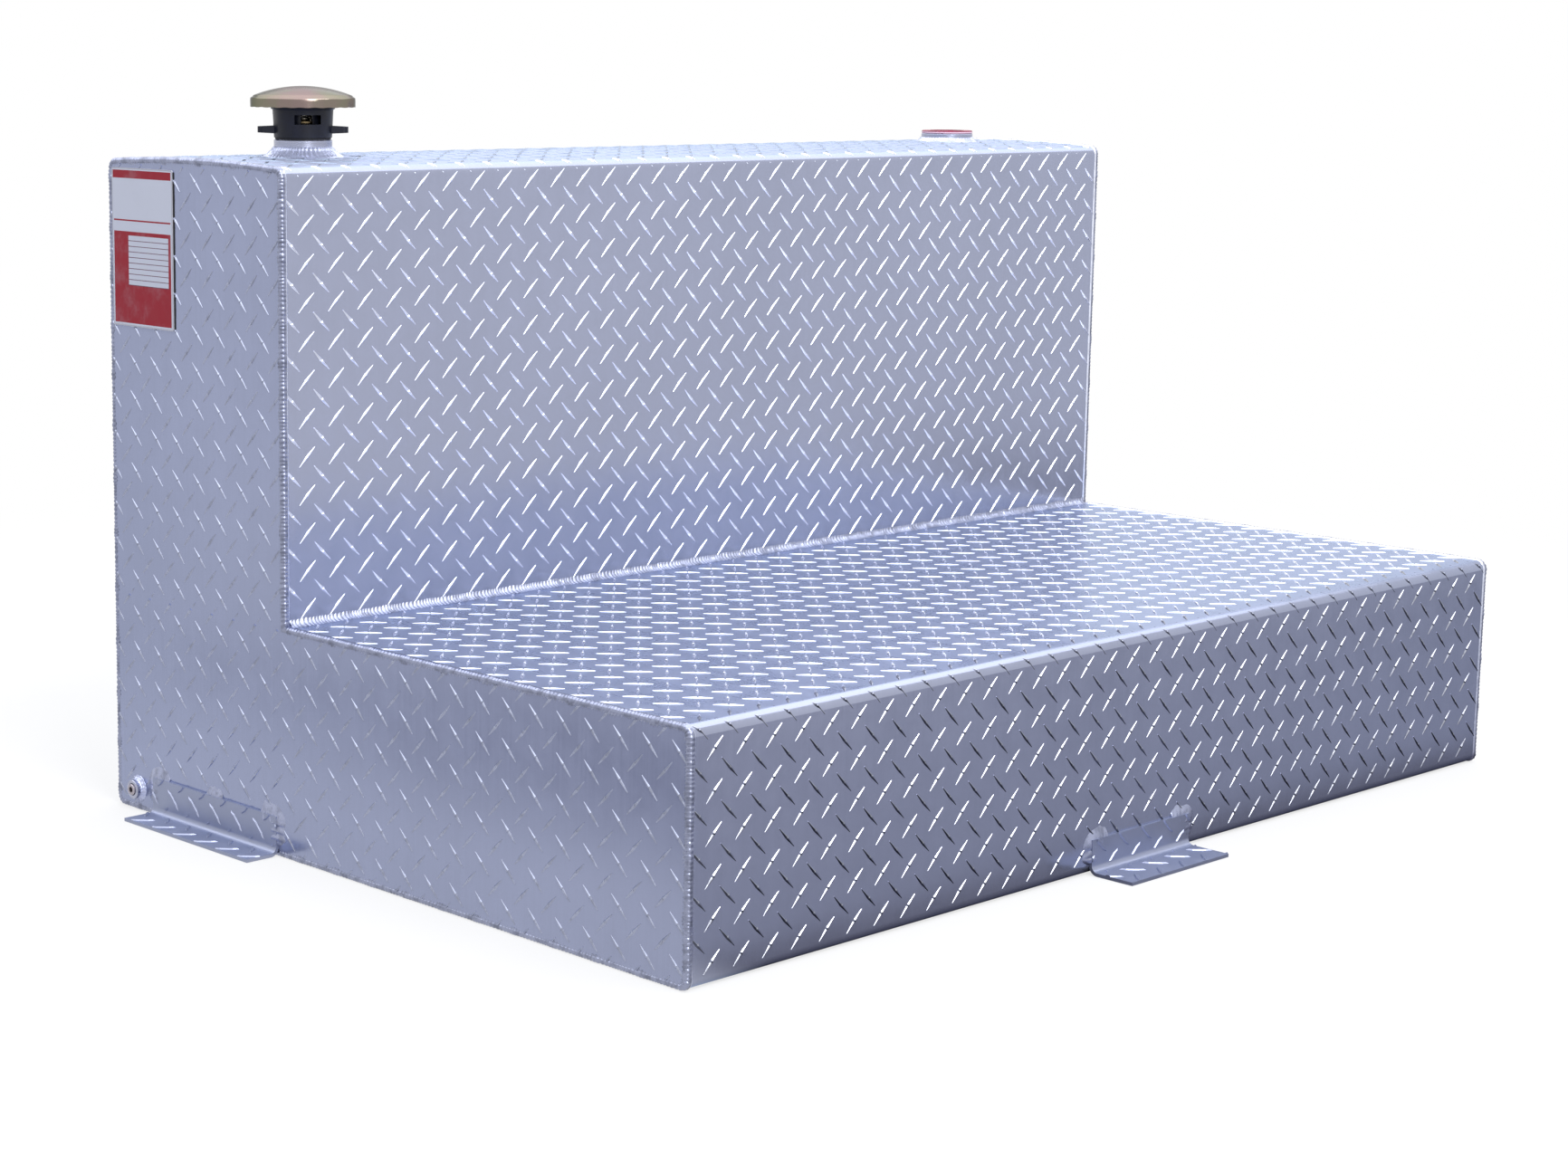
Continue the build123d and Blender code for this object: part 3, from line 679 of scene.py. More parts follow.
class Mesh:
    """Points and faces gathered for one piece."""

    def __init__(self):
        self.points = []
        self.faces = []
        self.marked = []

    def tube(self, rings, looped=False, steps=(), strips=()):
        """Joins rings of points into a closed skin, and marks some steps or strips of it."""
        base = len(self.points)
        size = len(rings[0])
        for ring in rings:
            self.points.extend(ring)
        for i in range(len(rings) if looped else len(rings) - 1):
            here = base + i * size
            there = base + (i + 1) % len(rings) * size
            for j in range(size):
                k = (j + 1) % size
                if i in steps or j in strips:
                    self.marked.append(len(self.faces))
                self.faces.append((here + j, here + k, there + k, there + j))
        if not looped:
            self.faces.append(tuple(base + j for j in reversed(range(size))))
            self.faces.append(tuple(base + (len(rings) - 1) * size + j for j in range(size)))

    def piece(self, name, finish, body="tank", crease=CREASE, second=None):
        """Makes the object, smooth up to the crease angle; marked faces take the second finish."""
        data = bpy.data.meshes.new(name)
        data.from_pydata([tuple(p) for p in self.points], [], self.faces)
        tidy = bmesh.new()
        tidy.from_mesh(data)
        bmesh.ops.recalc_face_normals(tidy, faces=tidy.faces)
        tidy.to_mesh(data)
        tidy.free()
        data.shade_smooth()
        data.set_sharp_from_angle(angle=crease)
        data.materials.append(finish.material)
        if second:
            data.materials.append(second.material)
            for i in self.marked:
                data.polygons[i].material_index = 1
        made = put_in_scene(name, data)
        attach(made, body)
        print(f"{name}: {sum(len(face) - 2 for face in self.faces)} triangles")
        return made


def kept_share(centre, step, low, high):
    """The part of a lug, from -1 to 1, whose axis stays between two limits on one side."""
    ends = sorted(((low - centre) / step, (high - centre) / step))
    return max(-1, ends[0]), min(1, ends[1])


def lay_lugs(mesh, surface, u_range, v_range, u_first, v_first, covered=None):
    """Both families of lugs over a face, u across and v along; v_first is a row leaning to -v."""
    reach = LUG_LENGTH / 2 * sqrt(0.5)
    laid = 0
    for family in (0, 1):
        lean = -1 if family == 0 else 1
        marks = {"steps": NICK} if family == 0 else {"strips": LOWER_FLANK}
        u0 = u_first + family * PITCH_ACROSS / 2
        v0 = v_first + family * PITCH_ALONG / 2
        u_places = range(int((u_range[0] - u0 - reach) / PITCH_ACROSS) - 1,
                         int((u_range[1] - u0 + reach) / PITCH_ACROSS) + 2)
        v_places = range(int((v_range[0] - v0 - reach) / PITCH_ALONG) - 1,
                         int((v_range[1] - v0 + reach) / PITCH_ALONG) + 2)
        for i in u_places:
            for j in v_places:
                u = u0 + i * PITCH_ACROSS
                v = v0 + j * PITCH_ALONG
                across = kept_share(u, reach, *u_range)
                along = kept_share(v, lean * reach, *v_range)
                first = max(across[0], along[0])
                last = min(across[1], along[1])
                if (last - first) * LUG_LENGTH / 2 < LUG_SHORTEST:
                    continue
                if covered and covered(surface(u, v, 0)):
                    continue
                mesh.tube([
                    [surface(u + (a - lean * b) * sqrt(0.5), v + (lean * a + b) * sqrt(0.5), h)
                     for a, b, h in ring]
                    for ring in lug_rings(first, last)
                ], **marks)
                laid += 1
    print(laid, "lugs")


print("pattern ready, one lug to", round(PITCH_ACROSS * PITCH_ALONG / 2 * 1e6), "square mm")

# %% [markdown]
# The folded sheet was rolled before it was bent, so its lugs follow the section round the bends in
# unbroken rows. The rows were counted on the photograph, and each face is a piece of its own so
# that it can take the finish that fits its place.

# %% Lugs of the folded sheet, face by face
FIRST_COLUMN = 28.5 * MM
FRONT_ROW = 22 * MM
RISER_ROW = 17 * MM
SEAM_LEG = 7 * MM
BEAD_OVERLAP = 2.5 * MM
CONE_MARGIN = 3 * MM

ACROSS = (-HALF_WIDTH + WELD_TOE - BEAD_OVERLAP, HALF_WIDTH - WELD_TOE + BEAD_OVERLAP)
FIRST_U = -HALF_WIDTH + FIRST_COLUMN


def near_ring(point, piece, axis):
    """True if a point is under a round weld, seen along one axis."""
    low, high = boxes[piece]
    middle = (low + high) / 2
    spread = [c for c in range(3) if c != axis]
    radius = (high[spread[0]] - low[spread[0]]) / 2
    away = sqrt(sum((point[c] - middle[c]) ** 2 for c in spread))
    return away < radius + CONE_MARGIN


def inside_box(point, piece, margin=0.0):
    """True if a point lies over a plate that covers the sheet there."""
    low, high = boxes[piece]
    return all(low[c] - margin < point[c] < high[c] + margin for c in range(3))


def covered_on_wrap(point):
    """Places of the folded sheet where a fitting stands instead of lugs."""
    if point.z > TOWER_HEIGHT - BEND and point.y > RISER_Y + BEND:
        return any(near_ring(point, name, 2) for name in ("filler_neck_weld", "pump_bung_weld"))
    return inside_box(point, "bracket_front", MM)


def wrap_lugs(name, first_run, last_run, row, margins=(0, 0), finish=painted_highlight_lug_finish, flank=None):
    """Lugs over a stretch of the folded sheet, from one run of the outline to another."""
    start = runs[first_run]["from"] + margins[0]
    end = runs[last_run]["to"] - margins[1]
    mesh = Mesh()
    lay_lugs(mesh, on_wrap, ACROSS, (start, end), FIRST_U, row, covered_on_wrap)
    piece = mesh.piece(name, finish, crease=LUG_CREASE, second=flank)


front_row = runs["front"]["from"] + FRONT_ROW - BEND
riser_row = runs["riser"]["from"] + RISER_ROW - BEND
seam_gap = SEAM_LEG - BEAD_OVERLAP
past_bend = LUG_LENGTH / 2
wrap_lugs("tread_deck", "deck", "deck", front_row, (seam_gap, past_bend))
# The front's lugs take painted shade on their marked faces.
wrap_lugs("tread_front", "front_bend", "front", front_row, (-past_bend, 0),
          front_lug_finish, painted_shade_flank_finish)
wrap_lugs("tread_back", "back", "back_bend", riser_row)
wrap_lugs("tread_top", "top_back", "top_front", riser_row, finish=dusty_lug_finish)
wrap_lugs("tread_riser", "riser_bend", "riser", riser_row, (0, seam_gap))

# %% [markdown]
# The ends are flat plates cut from the same stock, so they carry the same pattern with its own
# start. On an L-shaped plate the pattern is laid twice: over the tall part above the deck, and
# over the full depth below it. No lug is laid where the label, the bracket or the drain stands.

# %% Lugs of the ends
END_COLUMN = 355 * MM
END_ROW = 199.5 * MM
END_PITCH = 34.8 * MM
END_SIDES = {"left": -1, "right": 1}


def covered_on_end(side):
    """Test for the places of one end plate where a fitting stands instead of lugs."""
    def covered(point):
        if inside_box(point, f"bracket_{side}", MM):
            return True
        if side == "right":
            return False
        return inside_box(point, "label", -2 * MM) or near_ring(point, "drain_bung_weld", 0)
    return covered


def end_lugs(side):
    """Lugs of one end, u from the back towards the front and v downwards."""
    sign = END_SIDES[side]
    edge = WELD_TOE - BEAD_OVERLAP

    def surface(u, v, lift):
        return Vector((sign * (HALF_WIDTH + lift), BACK_Y - u * END_PITCH / PITCH_ACROSS, -v))

    depth = (BACK_Y - FRONT_Y) * PITCH_ACROSS / END_PITCH
    tower = TOWER_DEPTH * PITCH_ACROSS / END_PITCH
    first_u = END_COLUMN * PITCH_ACROSS / END_PITCH + PITCH_ACROSS / 2
    first_v = PITCH_ALONG / 2 - END_ROW
    mesh = Mesh()
    faces = [
        ((edge, tower - edge), (edge - TOWER_HEIGHT, -DECK_HEIGHT)),
        ((edge, depth - edge), (edge - DECK_HEIGHT, -edge)),
    ]
    for u_range, v_range in faces:
        lay_lugs(mesh, surface, u_range, v_range, first_u, first_v, covered_on_end(side))
    piece = mesh.piece(f"tread_{side}", end_lug_finish, crease=LUG_CREASE)


for side in END_SIDES:
    end_lugs(side)

# %% [markdown]
# ## Weld beads
# A bead laid by hand is a row of overlapping puddles, nearly four millimetres apart, each bulging
# back over the last. Bump alone would leave its outline straight, so the bead is a tube of rings
# along the corner, whose radius follows the puddles. Each ripple bows as the puddles do, and now
# and then a restart leaves a fatter one.

# %% The shape of a ripple
RIPPLE_PITCH = 3.9 * MM
RIPPLE_STEPS = 4
RIPPLE_DEPTH = 0.9 * MM
RESTART_PITCH = 52 * MM
RESTART_BULGE = 0.5 * MM
RESTART_SHARE = 0.07
RESTART_WANDER = 0.12
RESTART_WAVE = 83 * MM
RIPPLE_BOW = 0.42
RIPPLE_ROUND = 0.7
WANDERS = ((0.35, 7 * MM, 0), (0.3, 19 * MM, 1.3))
ARC_POINTS = 9
BEAD_ROOT = 0.35 * MM


def ripple(distance, bend):
    """How far the bead stands back at a place along it; bend is -1 to 1 across its face."""
    wander = sum(much * sin(distance / pitch + start) for much, pitch, start in WANDERS)
    phase = distance / RIPPLE_PITCH + wander - RIPPLE_BOW * bend * bend
    puddle = abs(sin(pi * phase))
    stray = RESTART_WANDER * sin(distance / RESTART_WAVE)
    near = abs(sin(pi * (distance / RESTART_PITCH + stray)))
    restart = max(0, near - 1 + RESTART_SHARE) / RESTART_SHARE
    return RIPPLE_DEPTH * (1 - puddle ** RIPPLE_ROUND) - RESTART_BULGE * restart


print("ripple stands back by", [round(ripple(i * MM, 0) / MM, 2) for i in range(5)], "mm")

# %% [markdown]
# The corner bead closes the gap where the folded sheet and an end plate meet edge to edge. It goes
# once round the L, and a last ring in the inner corner joins its two ends. A groove runs along
# each toe, and the strip beside one of them takes the lugs' light finish: a painted highlight
# along that toe.

# %% Beads round the two ends
CORNER_POINTS = 15
CORNER_GROOVES = ((-0.8, 0.1, 0.9 * MM), (0.52, 0.1, 0.8 * MM))
SMOOTH_FROM = 0.45
SMOOTH_BLEND = 0.2
# The strip along one toe, which takes the lugs' light finish as a painted highlight.
PAINTED_HIGHLIGHT_TOE = (1, 2)


def bead_grooves(bend):
    """How deep the bead stands back in the groove along each of its toes."""
    return sum(deep * exp(-((bend - place) / wide) ** 2) for place, wide, deep in CORNER_GROOVES)


def bead_ring(point, aside, distance):
    """Points of one ring round the corner: aside maps (in from the end, in from the face)."""
    reach = WELD_TOE + WELD_PROUD
    centre = reach - sqrt(2 * WELD_TOE * WELD_PROUD + 2 * WELD_PROUD ** 2)
    half_turn = 3 * pi / 4 - atan(centre / (WELD_TOE - centre))
    ring = [aside(point, centre, centre)]
    for j in range(CORNER_POINTS):
        bend = 1 - 2 * j / (CORNER_POINTS - 1)
        turn = bend * half_turn - 3 * pi / 4
        body = 1 - min(1, max(0, bend - SMOOTH_FROM) / SMOOTH_BLEND)
        radius = centre + WELD_PROUD - bead_grooves(bend) - body * ripple(distance, bend)
        ring.append(aside(point, centre + radius * cos(turn), centre + radius * sin(turn)))
    return ring


def corner_bead(side):
    """The bead along an end's outside corner, in place of the plain one, flat on the floor."""
    sign = END_SIDES[side]
    back_limit = boxes[f"corner_weld_{side}"][1].y
    corner = Vector((RISER_Y, DECK_HEIGHT))
    gap = 2 * WELD_PROUD
    count = int((section.length - 2 * gap) / RIPPLE_PITCH * RIPPLE_STEPS)

    def place(point, inward, from_end, from_face):
        x = sign * (HALF_WIDTH - from_end)
        spot = point + inward * from_face
        return Vector((x, min(spot.x, back_limit), max(spot.y, 0)))

    rings = []
    for i in range(count + 1):
        distance = gap + (section.length - 2 * gap) * i / count
        point, normal = section.at(distance)
        rings.append(bead_ring(point, lambda p, a, b: place(p, -normal, a, b), distance))
    rings.append(bead_ring(corner, lambda p, a, b: place(p, Vector((1, -1)), a, b), 0))
    mesh = Mesh()
    mesh.tube(rings, looped=True, strips=PAINTED_HIGHLIGHT_TOE)
    piece = mesh.piece(f"corner_bead_{side}", bead_finish, second=painted_highlight_lug_finish)
    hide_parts(f"corner_weld_{side}")


for side in END_SIDES:
    corner_bead(side)

# %% [markdown]
# Where the riser stands on the deck the fillet is a hollow one: each of its rings sags between two
# straight legs, and the same ripples run along it.

# %% Fillet bead in the inner corner
SEAM_HOLLOW = 0.9 * MM


def seam_bead():
    """The fillet between deck and riser, rippled, from one corner bead to the other."""
    half = HALF_WIDTH - WELD_TOE
    count = int(2 * half / RIPPLE_PITCH * RIPPLE_STEPS)
    rings = []
    for i in range(count + 1):
        x = -half + 2 * half * i / count
        ring = [Vector((x, RISER_Y + SHEET / 2, DECK_HEIGHT - BEAD_ROOT))]
        for j in range(ARC_POINTS):
            share = j / (ARC_POINTS - 1)
            sag = SEAM_HOLLOW * 4 * share * (1 - share) + ripple(x + HALF_WIDTH, 2 * share - 1)
            y = RISER_Y - SEAM_LEG * (1 - share) + sag * sqrt(0.5)
            z = DECK_HEIGHT + SEAM_LEG * share - sag * sqrt(0.5)
            ring.append(Vector((x, y, z)))
        rings.append(ring)
    mesh = Mesh()
    mesh.tube(rings)
    piece = mesh.piece("seam_bead", bead_finish)
    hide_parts("seam_weld")


seam_bead()

# %% [markdown]
# A port is welded in with three passes, one above the other, which build a cone. Puddles go round
# the port, shallow grooves part the passes, and the foot of a cone on the tower sinks with its
# crowned top. One function makes all three cones, told how to place a point.

# %% Cones of weld round the ports
CONE_HOLLOW = 0.1
CONE_TURNS = 3
CONE_GROOVE = 0.8


def top_drop(y):
    """How far the crowned top lies below its crest."""
    return CREST_RADIUS - sqrt(CREST_RADIUS ** 2 - (y - TOP_Y) ** 2)


def cone_bead(name, replaced, foot, head, height, place):
    """A cone of overlapping puddles; place turns (angle, radius, height, share) into a point."""
    middle = (foot + head) / 2
    count = int(2 * pi * middle / RIPPLE_PITCH) * RIPPLE_STEPS
    rings = []
    for i in range(count):
        angle = 2 * pi * i / count
        ring = [place(angle, head - MM, -BEAD_ROOT, 0)]
        for j in range(ARC_POINTS):
            share = j / (ARC_POINTS - 1)
            passes = abs(sin(CONE_TURNS * pi * share))
            sink = ripple(angle * middle, 2 * share - 1) + RIPPLE_DEPTH * (1 - passes) * CONE_GROOVE
            hollow = (foot - head) * CONE_HOLLOW * 4 * share * (1 - share)
            radius = foot + (head - foot) * share - (hollow + sink) * sqrt(0.5)
            lift = height * share - (hollow + sink) * sqrt(0.5)
            ring.append(place(angle, max(radius, head - MM), lift, share))
        rings.append(ring)
    mesh = Mesh()
    mesh.tube(rings, looped=True)
    piece = mesh.piece(name, cone_finish)
    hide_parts(replaced)


def top_cone(name, port, weld):
    """Weld round a port on the crowned top."""
    port_low, port_high = boxes[port]
    weld_low, weld_high = boxes[weld]
    x = (port_low.x + port_high.x) / 2
    head = (port_high.x - port_low.x) / 2
    foot = (weld_high.x - weld_low.x) / 2

    def place(angle, radius, lift, share):
        y = TOP_Y + radius * sin(angle)
        z = CREST_Z + lift - (1 - share) * top_drop(y)
        return Vector((x + radius * cos(angle), y, z))

    cone_bead(name, weld, foot, head, weld_high.z - CREST_Z, place)


def drain_cone():
    """Weld round the drain's coupling, on the left end."""
    low, high = boxes["drain_bung"]
    weld_low, weld_high = boxes["drain_bung_weld"]
    middle = (low + high) / 2

    def place(angle, radius, lift, share):
        y = middle.y + radius * cos(angle)
        z = middle.z + radius * sin(angle)
        return Vector((-HALF_WIDTH - lift, y, z))

    foot = (weld_high.y - weld_low.y) / 2
    head = (high.y - low.y) / 2
    cone_bead("drain_bead", "drain_bung_weld", foot, head, -HALF_WIDTH - weld_low.x, place)


top_cone("neck_bead", "filler_neck", "filler_neck_weld")
top_cone("pump_bung_bead", "pump_bung", "pump_bung_weld")
drain_cone()

# %% [markdown]
# The brackets are held by short heavy welds: each wraps a top corner of the leg and runs down its
# end, and a side bracket has one more in the middle. They are broader and lumpier than the beads,
# because the torch hardly moved. Each is a bulging strip from the leg's face over its edge to the
# wall behind, laid along a path, with a swell that noise sets along the way.

# %% Heavy welds of the brackets
TACK_INNER = 10.5 * MM
TACK_OUTER = 11 * MM
TACK_BULGE = 1.7 * MM
TACK_RUN = 26 * MM
TACK_CORNER = 8 * MM
TACK_STEP = 0.8 * MM
TACK_TAPER = 6 * MM
TACK_SWELL = 0.3
TACK_LUMP = 6 * MM
TACK_STRETCH = 0.7
CORNER_STEPS = 8
BRACKET_WALLS = {
    "front": (Vector((0, FRONT_Y, 0)), Vector((1, 0, 0)), Vector((0, -1, 0))),
    "left": (Vector((-HALF_WIDTH, 0, 0)), Vector((0, -1, 0)), Vector((-1, 0, 0))),
    "right": (Vector((HALF_WIDTH, 0, 0)), Vector((0, 1, 0)), Vector((1, 0, 0))),
}


def corner_path(end, leg, side):
    """Steps of (along, up) and the way outward, over a top corner and down the leg's end."""
    path = []
    flat = TACK_RUN - TACK_CORNER
    for i in range(int(flat / TACK_STEP)):
        path.append((side * (end - TACK_RUN + i * TACK_STEP), leg, 0, 1))
    for i in range(CORNER_STEPS + 1):
        turn = pi / 2 * i / CORNER_STEPS
        across = end - TACK_CORNER + TACK_CORNER * sin(turn)
        up = leg - TACK_CORNER + TACK_CORNER * cos(turn)
        path.append((side * across, up, side * sin(turn), cos(turn)))
    for i in range(1, int((leg - TACK_CORNER - BEND) / TACK_STEP)):
        path.append((side * end, leg - TACK_CORNER - i * TACK_STEP, side, 0))
    return path


def middle_path(leg):
    """The same along the middle of the leg's top edge."""
    count = int(TACK_RUN / TACK_STEP)
    return [((i - count / 2) * TACK_STEP, leg, 0, 1) for i in range(count + 1)]


def bracket_tacks(side):
    """The heavy welds of one bracket."""
    low, high = boxes[f"bracket_{side}"]
    origin, along, out = BRACKET_WALLS[side]
    middle = (low + high) / 2
    start = origin + along * (middle - origin).dot(along)
    end = abs((high - low).dot(along)) / 2
    paths = [corner_path(end, high.z, -1), corner_path(end, high.z, 1)]
    if side != "front":
        paths.append(middle_path(high.z))
    mesh = Mesh()
    for path in paths:
        rings = []
        for i, (place, up, aside, above) in enumerate(path):
            gone = i * TACK_STEP
            left = (len(path) - 1 - i) * TACK_STEP
            taper = min(1, (min(gone, left) + MM) / TACK_TAPER) ** 0.5
            swell = 1 + TACK_SWELL * noise.noise(Vector((place, up, end)) / TACK_LUMP)
            ring = []
            for j in range(ARC_POINTS):
                share = j / (ARC_POINTS - 1)
                offset = (TACK_OUTER * share - TACK_INNER * (1 - share)) * taper * swell
                lift = SHEET * (1 - share) + TACK_BULGE * taper * swell * sin(pi * share)
                lift -= ripple(gone * TACK_STRETCH, 2 * share - 1) * sin(pi * share) + BEAD_ROOT
                ring.append((offset, lift))
            # Two points hidden in the metal close the ring.
            ring += [(TACK_OUTER * taper * 0.5, -MM), (-TACK_INNER * taper * 0.8, SHEET / 2)]
            rings.append([
                start + along * (place + aside * a) + Vector((0, 0, up + above * a)) + out * lift
                for a, lift in ring
            ])
        mesh.tube(rings)
    piece = mesh.piece(f"bracket_{side}_tacks", tack_finish)
    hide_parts(f"bracket_{side}_welds")


for side in BRACKET_WALLS:
    bracket_tacks(side)

# %% [markdown]
# ## Dome of the cap
# The dome is pressed from thin steel and crimped under the carrier at its lower edge. The crimping
# tool leaves that edge slightly scalloped, which a turned solid can't show, so the dome's profile
# is laid round again with an edge that waves.

# %% Dome with a crimped edge
DOME_SHEET = 1.0 * MM
DOME_SHOULDER = 3.2 * MM
DOME_SKIRT = 9 * MM
SHOULDER_STEPS = 5
SHOULDER_SQUASH = 0.72
CRIMPS = 22
CRIMP_DEPTH = 0.45 * MM
CRIMP_REACH = 2.5 * MM
CRIMP_INWARD = 0.6
LIP_WIDTH = 2.8 * MM
DOME_SEGMENTS = 176
CROWN_POINTS = 14
CROWN_HOLE = 0.05 * MM


def dome_profile(radius, rise, skirt, bottom):
    """(radius, height) points from the crimped edge up over the shoulder to the middle."""
    straight = skirt - DOME_SHOULDER
    points = [(radius, bottom), (radius, bottom * 0.4 + skirt * 0.6), (radius, straight)]
    sphere = (radius * radius + rise * rise) / (2 * rise)
    for i in range(1, SHOULDER_STEPS):
        turn = pi / 2 * i / SHOULDER_STEPS
        drop = DOME_SHOULDER * (1 - sin(turn)) * SHOULDER_SQUASH
        points.append((radius - DOME_SHOULDER * (1 - cos(turn)), skirt - drop))
    for i in range(CROWN_POINTS):
        reach = (radius - DOME_SHOULDER) * (1 - i / (CROWN_POINTS - 1))
        height = skirt + rise - sphere + sqrt(sphere * sphere - reach * reach)
        points.append((max(reach, CROWN_HOLE), height))
    return points


def crimped_dome():
    """The dome as a thin closed shell in place of the plain one."""
    low, high = boxes["cap_dome"]
    middle = (low + high) / 2
    radius = (high.x - low.x) / 2
    rise = high.z - low.z - DOME_SKIRT - DOME_SHEET
    floor = low.z + DOME_SHEET
    outer = dome_profile(radius, rise, DOME_SKIRT, -DOME_SHEET)
    inner = dome_profile(radius - DOME_SHEET, rise, DOME_SKIRT - DOME_SHEET, 0)
    tip = radius - LIP_WIDTH
    lip = [(tip, 0), (tip, -DOME_SHEET), (radius - DOME_SHEET, -DOME_SHEET * 1.1)]
    rings = []
    for i in range(DOME_SEGMENTS):
        angle = 2 * pi * i / DOME_SEGMENTS
        wave = CRIMP_DEPTH * (0.5 + 0.5 * cos(CRIMPS * angle))
        ring = []
        for r, z in outer + inner[::-1] + lip:
            near = max(0, 1 - (z + DOME_SHEET) / CRIMP_REACH)
            reach = r - wave * near * CRIMP_INWARD
            x = middle.x + reach * cos(angle)
            y = middle.y + reach * sin(angle)
            ring.append(Vector((x, y, floor + z + wave * min(near, 1))))
        rings.append(ring)
    mesh = Mesh()
    mesh.tube(rings, looped=True)
    piece = mesh.piece("crimped_dome", dome_finish, "cap")
    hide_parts("cap_dome")


crimped_dome()

# %% [markdown]
# A breather valve works inside the cap, behind three windows. Without a wall round it, light would
# pass straight through two windows and the cap would look hollow. Three curved walls, each from
# one window to the next, keep it dark. Each is a row of four-cornered rings, joined and closed.

# %% Walls that guide the vent's valve
GUIDE_RADIUS = 20 * MM
GUIDE_WALL = 1.2 * MM
GUIDE_GAP = 0.2 * MM
GUIDE_SLOT = radians(16)
GUIDE_TURN = radians(-117.5)
GUIDE_STEPS = 16


def vent_guide():
    """Three curved walls round the valve, open towards the three windows of the cap."""
    middle = (boxes["vent_poppet"][0] + boxes["vent_poppet"][1]) / 2
    foot = Vector((middle.x, middle.y, 0))
    low = boxes["vent_seal"][0].z + GUIDE_GAP
    high = boxes["vent_spring"][1].z - MM
    outer = GUIDE_RADIUS + GUIDE_WALL
    corners = ((GUIDE_RADIUS, low), (outer, low), (outer, high), (GUIDE_RADIUS, high))
    mesh = Mesh()
    for i in range(3):
        first = GUIDE_TURN + 2 * pi / 3 * i + GUIDE_SLOT
        last = GUIDE_TURN + 2 * pi / 3 * (i + 1) - GUIDE_SLOT
        rings = []
        for j in range(GUIDE_STEPS + 1):
            angle = first + (last - first) * j / GUIDE_STEPS
            way = Vector((cos(angle), sin(angle), 0))
            rings.append([foot + way * radius + Vector((0, 0, z)) for radius, z in corners])
        mesh.tube(rings)
    piece = mesh.piece("vent_guide", cap_finish, "cap")


vent_guide()

# %% [markdown]
# The valve's spring is squeezed between the valve and the dome's carrier. In place of the
# frame's turned spring, the coil is wound here from round wire.

# %% Spring wound as a coil
COIL_WIRE = 1.2 * MM
COIL_TURNS = 4.5
COIL_STEPS = 28
COIL_SIDES = 10


def vent_coil():
    """The spring, wound between the valve and its seat, in place of the plain one."""
    low, high = boxes["vent_spring"]
    middle = (low + high) / 2
    radius = (high.x - low.x - COIL_WIRE) / 2
    climb = high.z - low.z - COIL_WIRE
    count = int(COIL_TURNS * COIL_STEPS)
    rings = []
    for i in range(count + 1):
        turn = 2 * pi * COIL_TURNS * i / count
        out = Vector((cos(turn), sin(turn), 0))
        height = low.z + COIL_WIRE / 2 + climb * i / count
        centre = Vector((middle.x, middle.y, height)) + out * radius
        rings.append([
            centre + (out * cos(side) + Vector((0, 0, sin(side)))) * COIL_WIRE / 2
            for side in (2 * pi * j / COIL_SIDES for j in range(COIL_SIDES))
        ])
    mesh = Mesh()
    mesh.tube(rings)
    piece = mesh.piece("vent_coil", spring_finish, "cap")
    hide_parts("vent_spring")
    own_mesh(piece)


vent_coil()

# %% [markdown]
# ## Label
# The label is a plate near the top back corner, with plain fields of colour: a red band at the
# top, a white panel, a ruled white table in a red block, and red below. The fields are worked out
# from the point on the plate, in shares of its size, so they need no picture and stay sharp.

# %% The label's fields
LABEL_RED = (0.36, 0.012, 0.03, 1)
LABEL_WHITE = (0.72, 0.75, 0.86, 1)
LABEL_INK = (0.16, 0.05, 0.1, 1)
LABEL_EDGE = (0.5, 0.5, 0.56, 1)
LABEL_DUST = (0.6, 0.62, 0.7, 1)
# Fields by their left, right, bottom and top.
BAND = (0.02, 0.98, 0.935, 0.985)
BLOCK = (0.03, 0.97, 0.02, 0.60)
RULE = (0.03, 0.97, 0.665, 0.675)
TABLE = (0.27, 0.93, 0.26, 0.575)
PRINTED = (0.012, 0.988, 0.008, 0.992)
TABLE_ROWS = 9
LINE_SHARE = 0.13


def label_finish():
    """Print of the label, by shares of its width from the back and of its height from below."""
    low, high = boxes["label"]
    finish = Finish("label_print", Specular_IOR_Level=0.2)
    across = (high.y - finish.axis("Y")) / (high.y - low.y)
    up = (finish.axis("Z") - low.z) / (high.z - low.z)

    def field(left, right, bottom, top):
        return (across > left) * (across < right) * (up > bottom) * (up < top)

    table = field(*TABLE)
    rows = finish.math_of("FRACT", (up - TABLE[2]) / ((TABLE[3] - TABLE[2]) / TABLE_ROWS))
    lines = table * (rows < LINE_SHARE)
    red = finish.blend(field(*BAND) + field(*BLOCK) + field(*RULE), LABEL_WHITE, LABEL_RED)
    ruled = finish.blend(table, red, LABEL_WHITE)
    inked = finish.blend(lines, ruled, LABEL_INK)
    worn = finish.blend((1 - field(*PRINTED)) * 0.8, inked, LABEL_EDGE)
    dust = finish.ramp(finish.noise(45, 4, 0.6), 0.45, 0.75, 0, 0.12)
    return finish.set(
        Base_Color=finish.blend(dust, worn, LABEL_DUST),
        Roughness=finish.ramp(finish.noise(80, 3, 0.6), 0.3, 0.7, 0.3, 0.42),
    )


dress(nodes["label"], label_finish())
print("label dressed")

# %% [markdown]
# A black strip along the label's front edge stands for the shadow in the gap under the label:
# a painted shadow. A straight edge would look drawn, so noise varies its width a little.

# %% Painted shadow along the label's edge
LABEL_SHADOW_WIDTH = 1.7 * MM
LABEL_SHADOW_LIFT = 0.8 * MM
LABEL_SHADOW_ROOT = 0.3 * MM
LABEL_SHADOW_ROUND = 0.4 * MM
LABEL_SHADOW_END = 2 * MM
LABEL_SHADOW_WAVER = 0.25
LABEL_SHADOW_LUMP = 9 * MM
LABEL_SHADOW_STEPS = 40


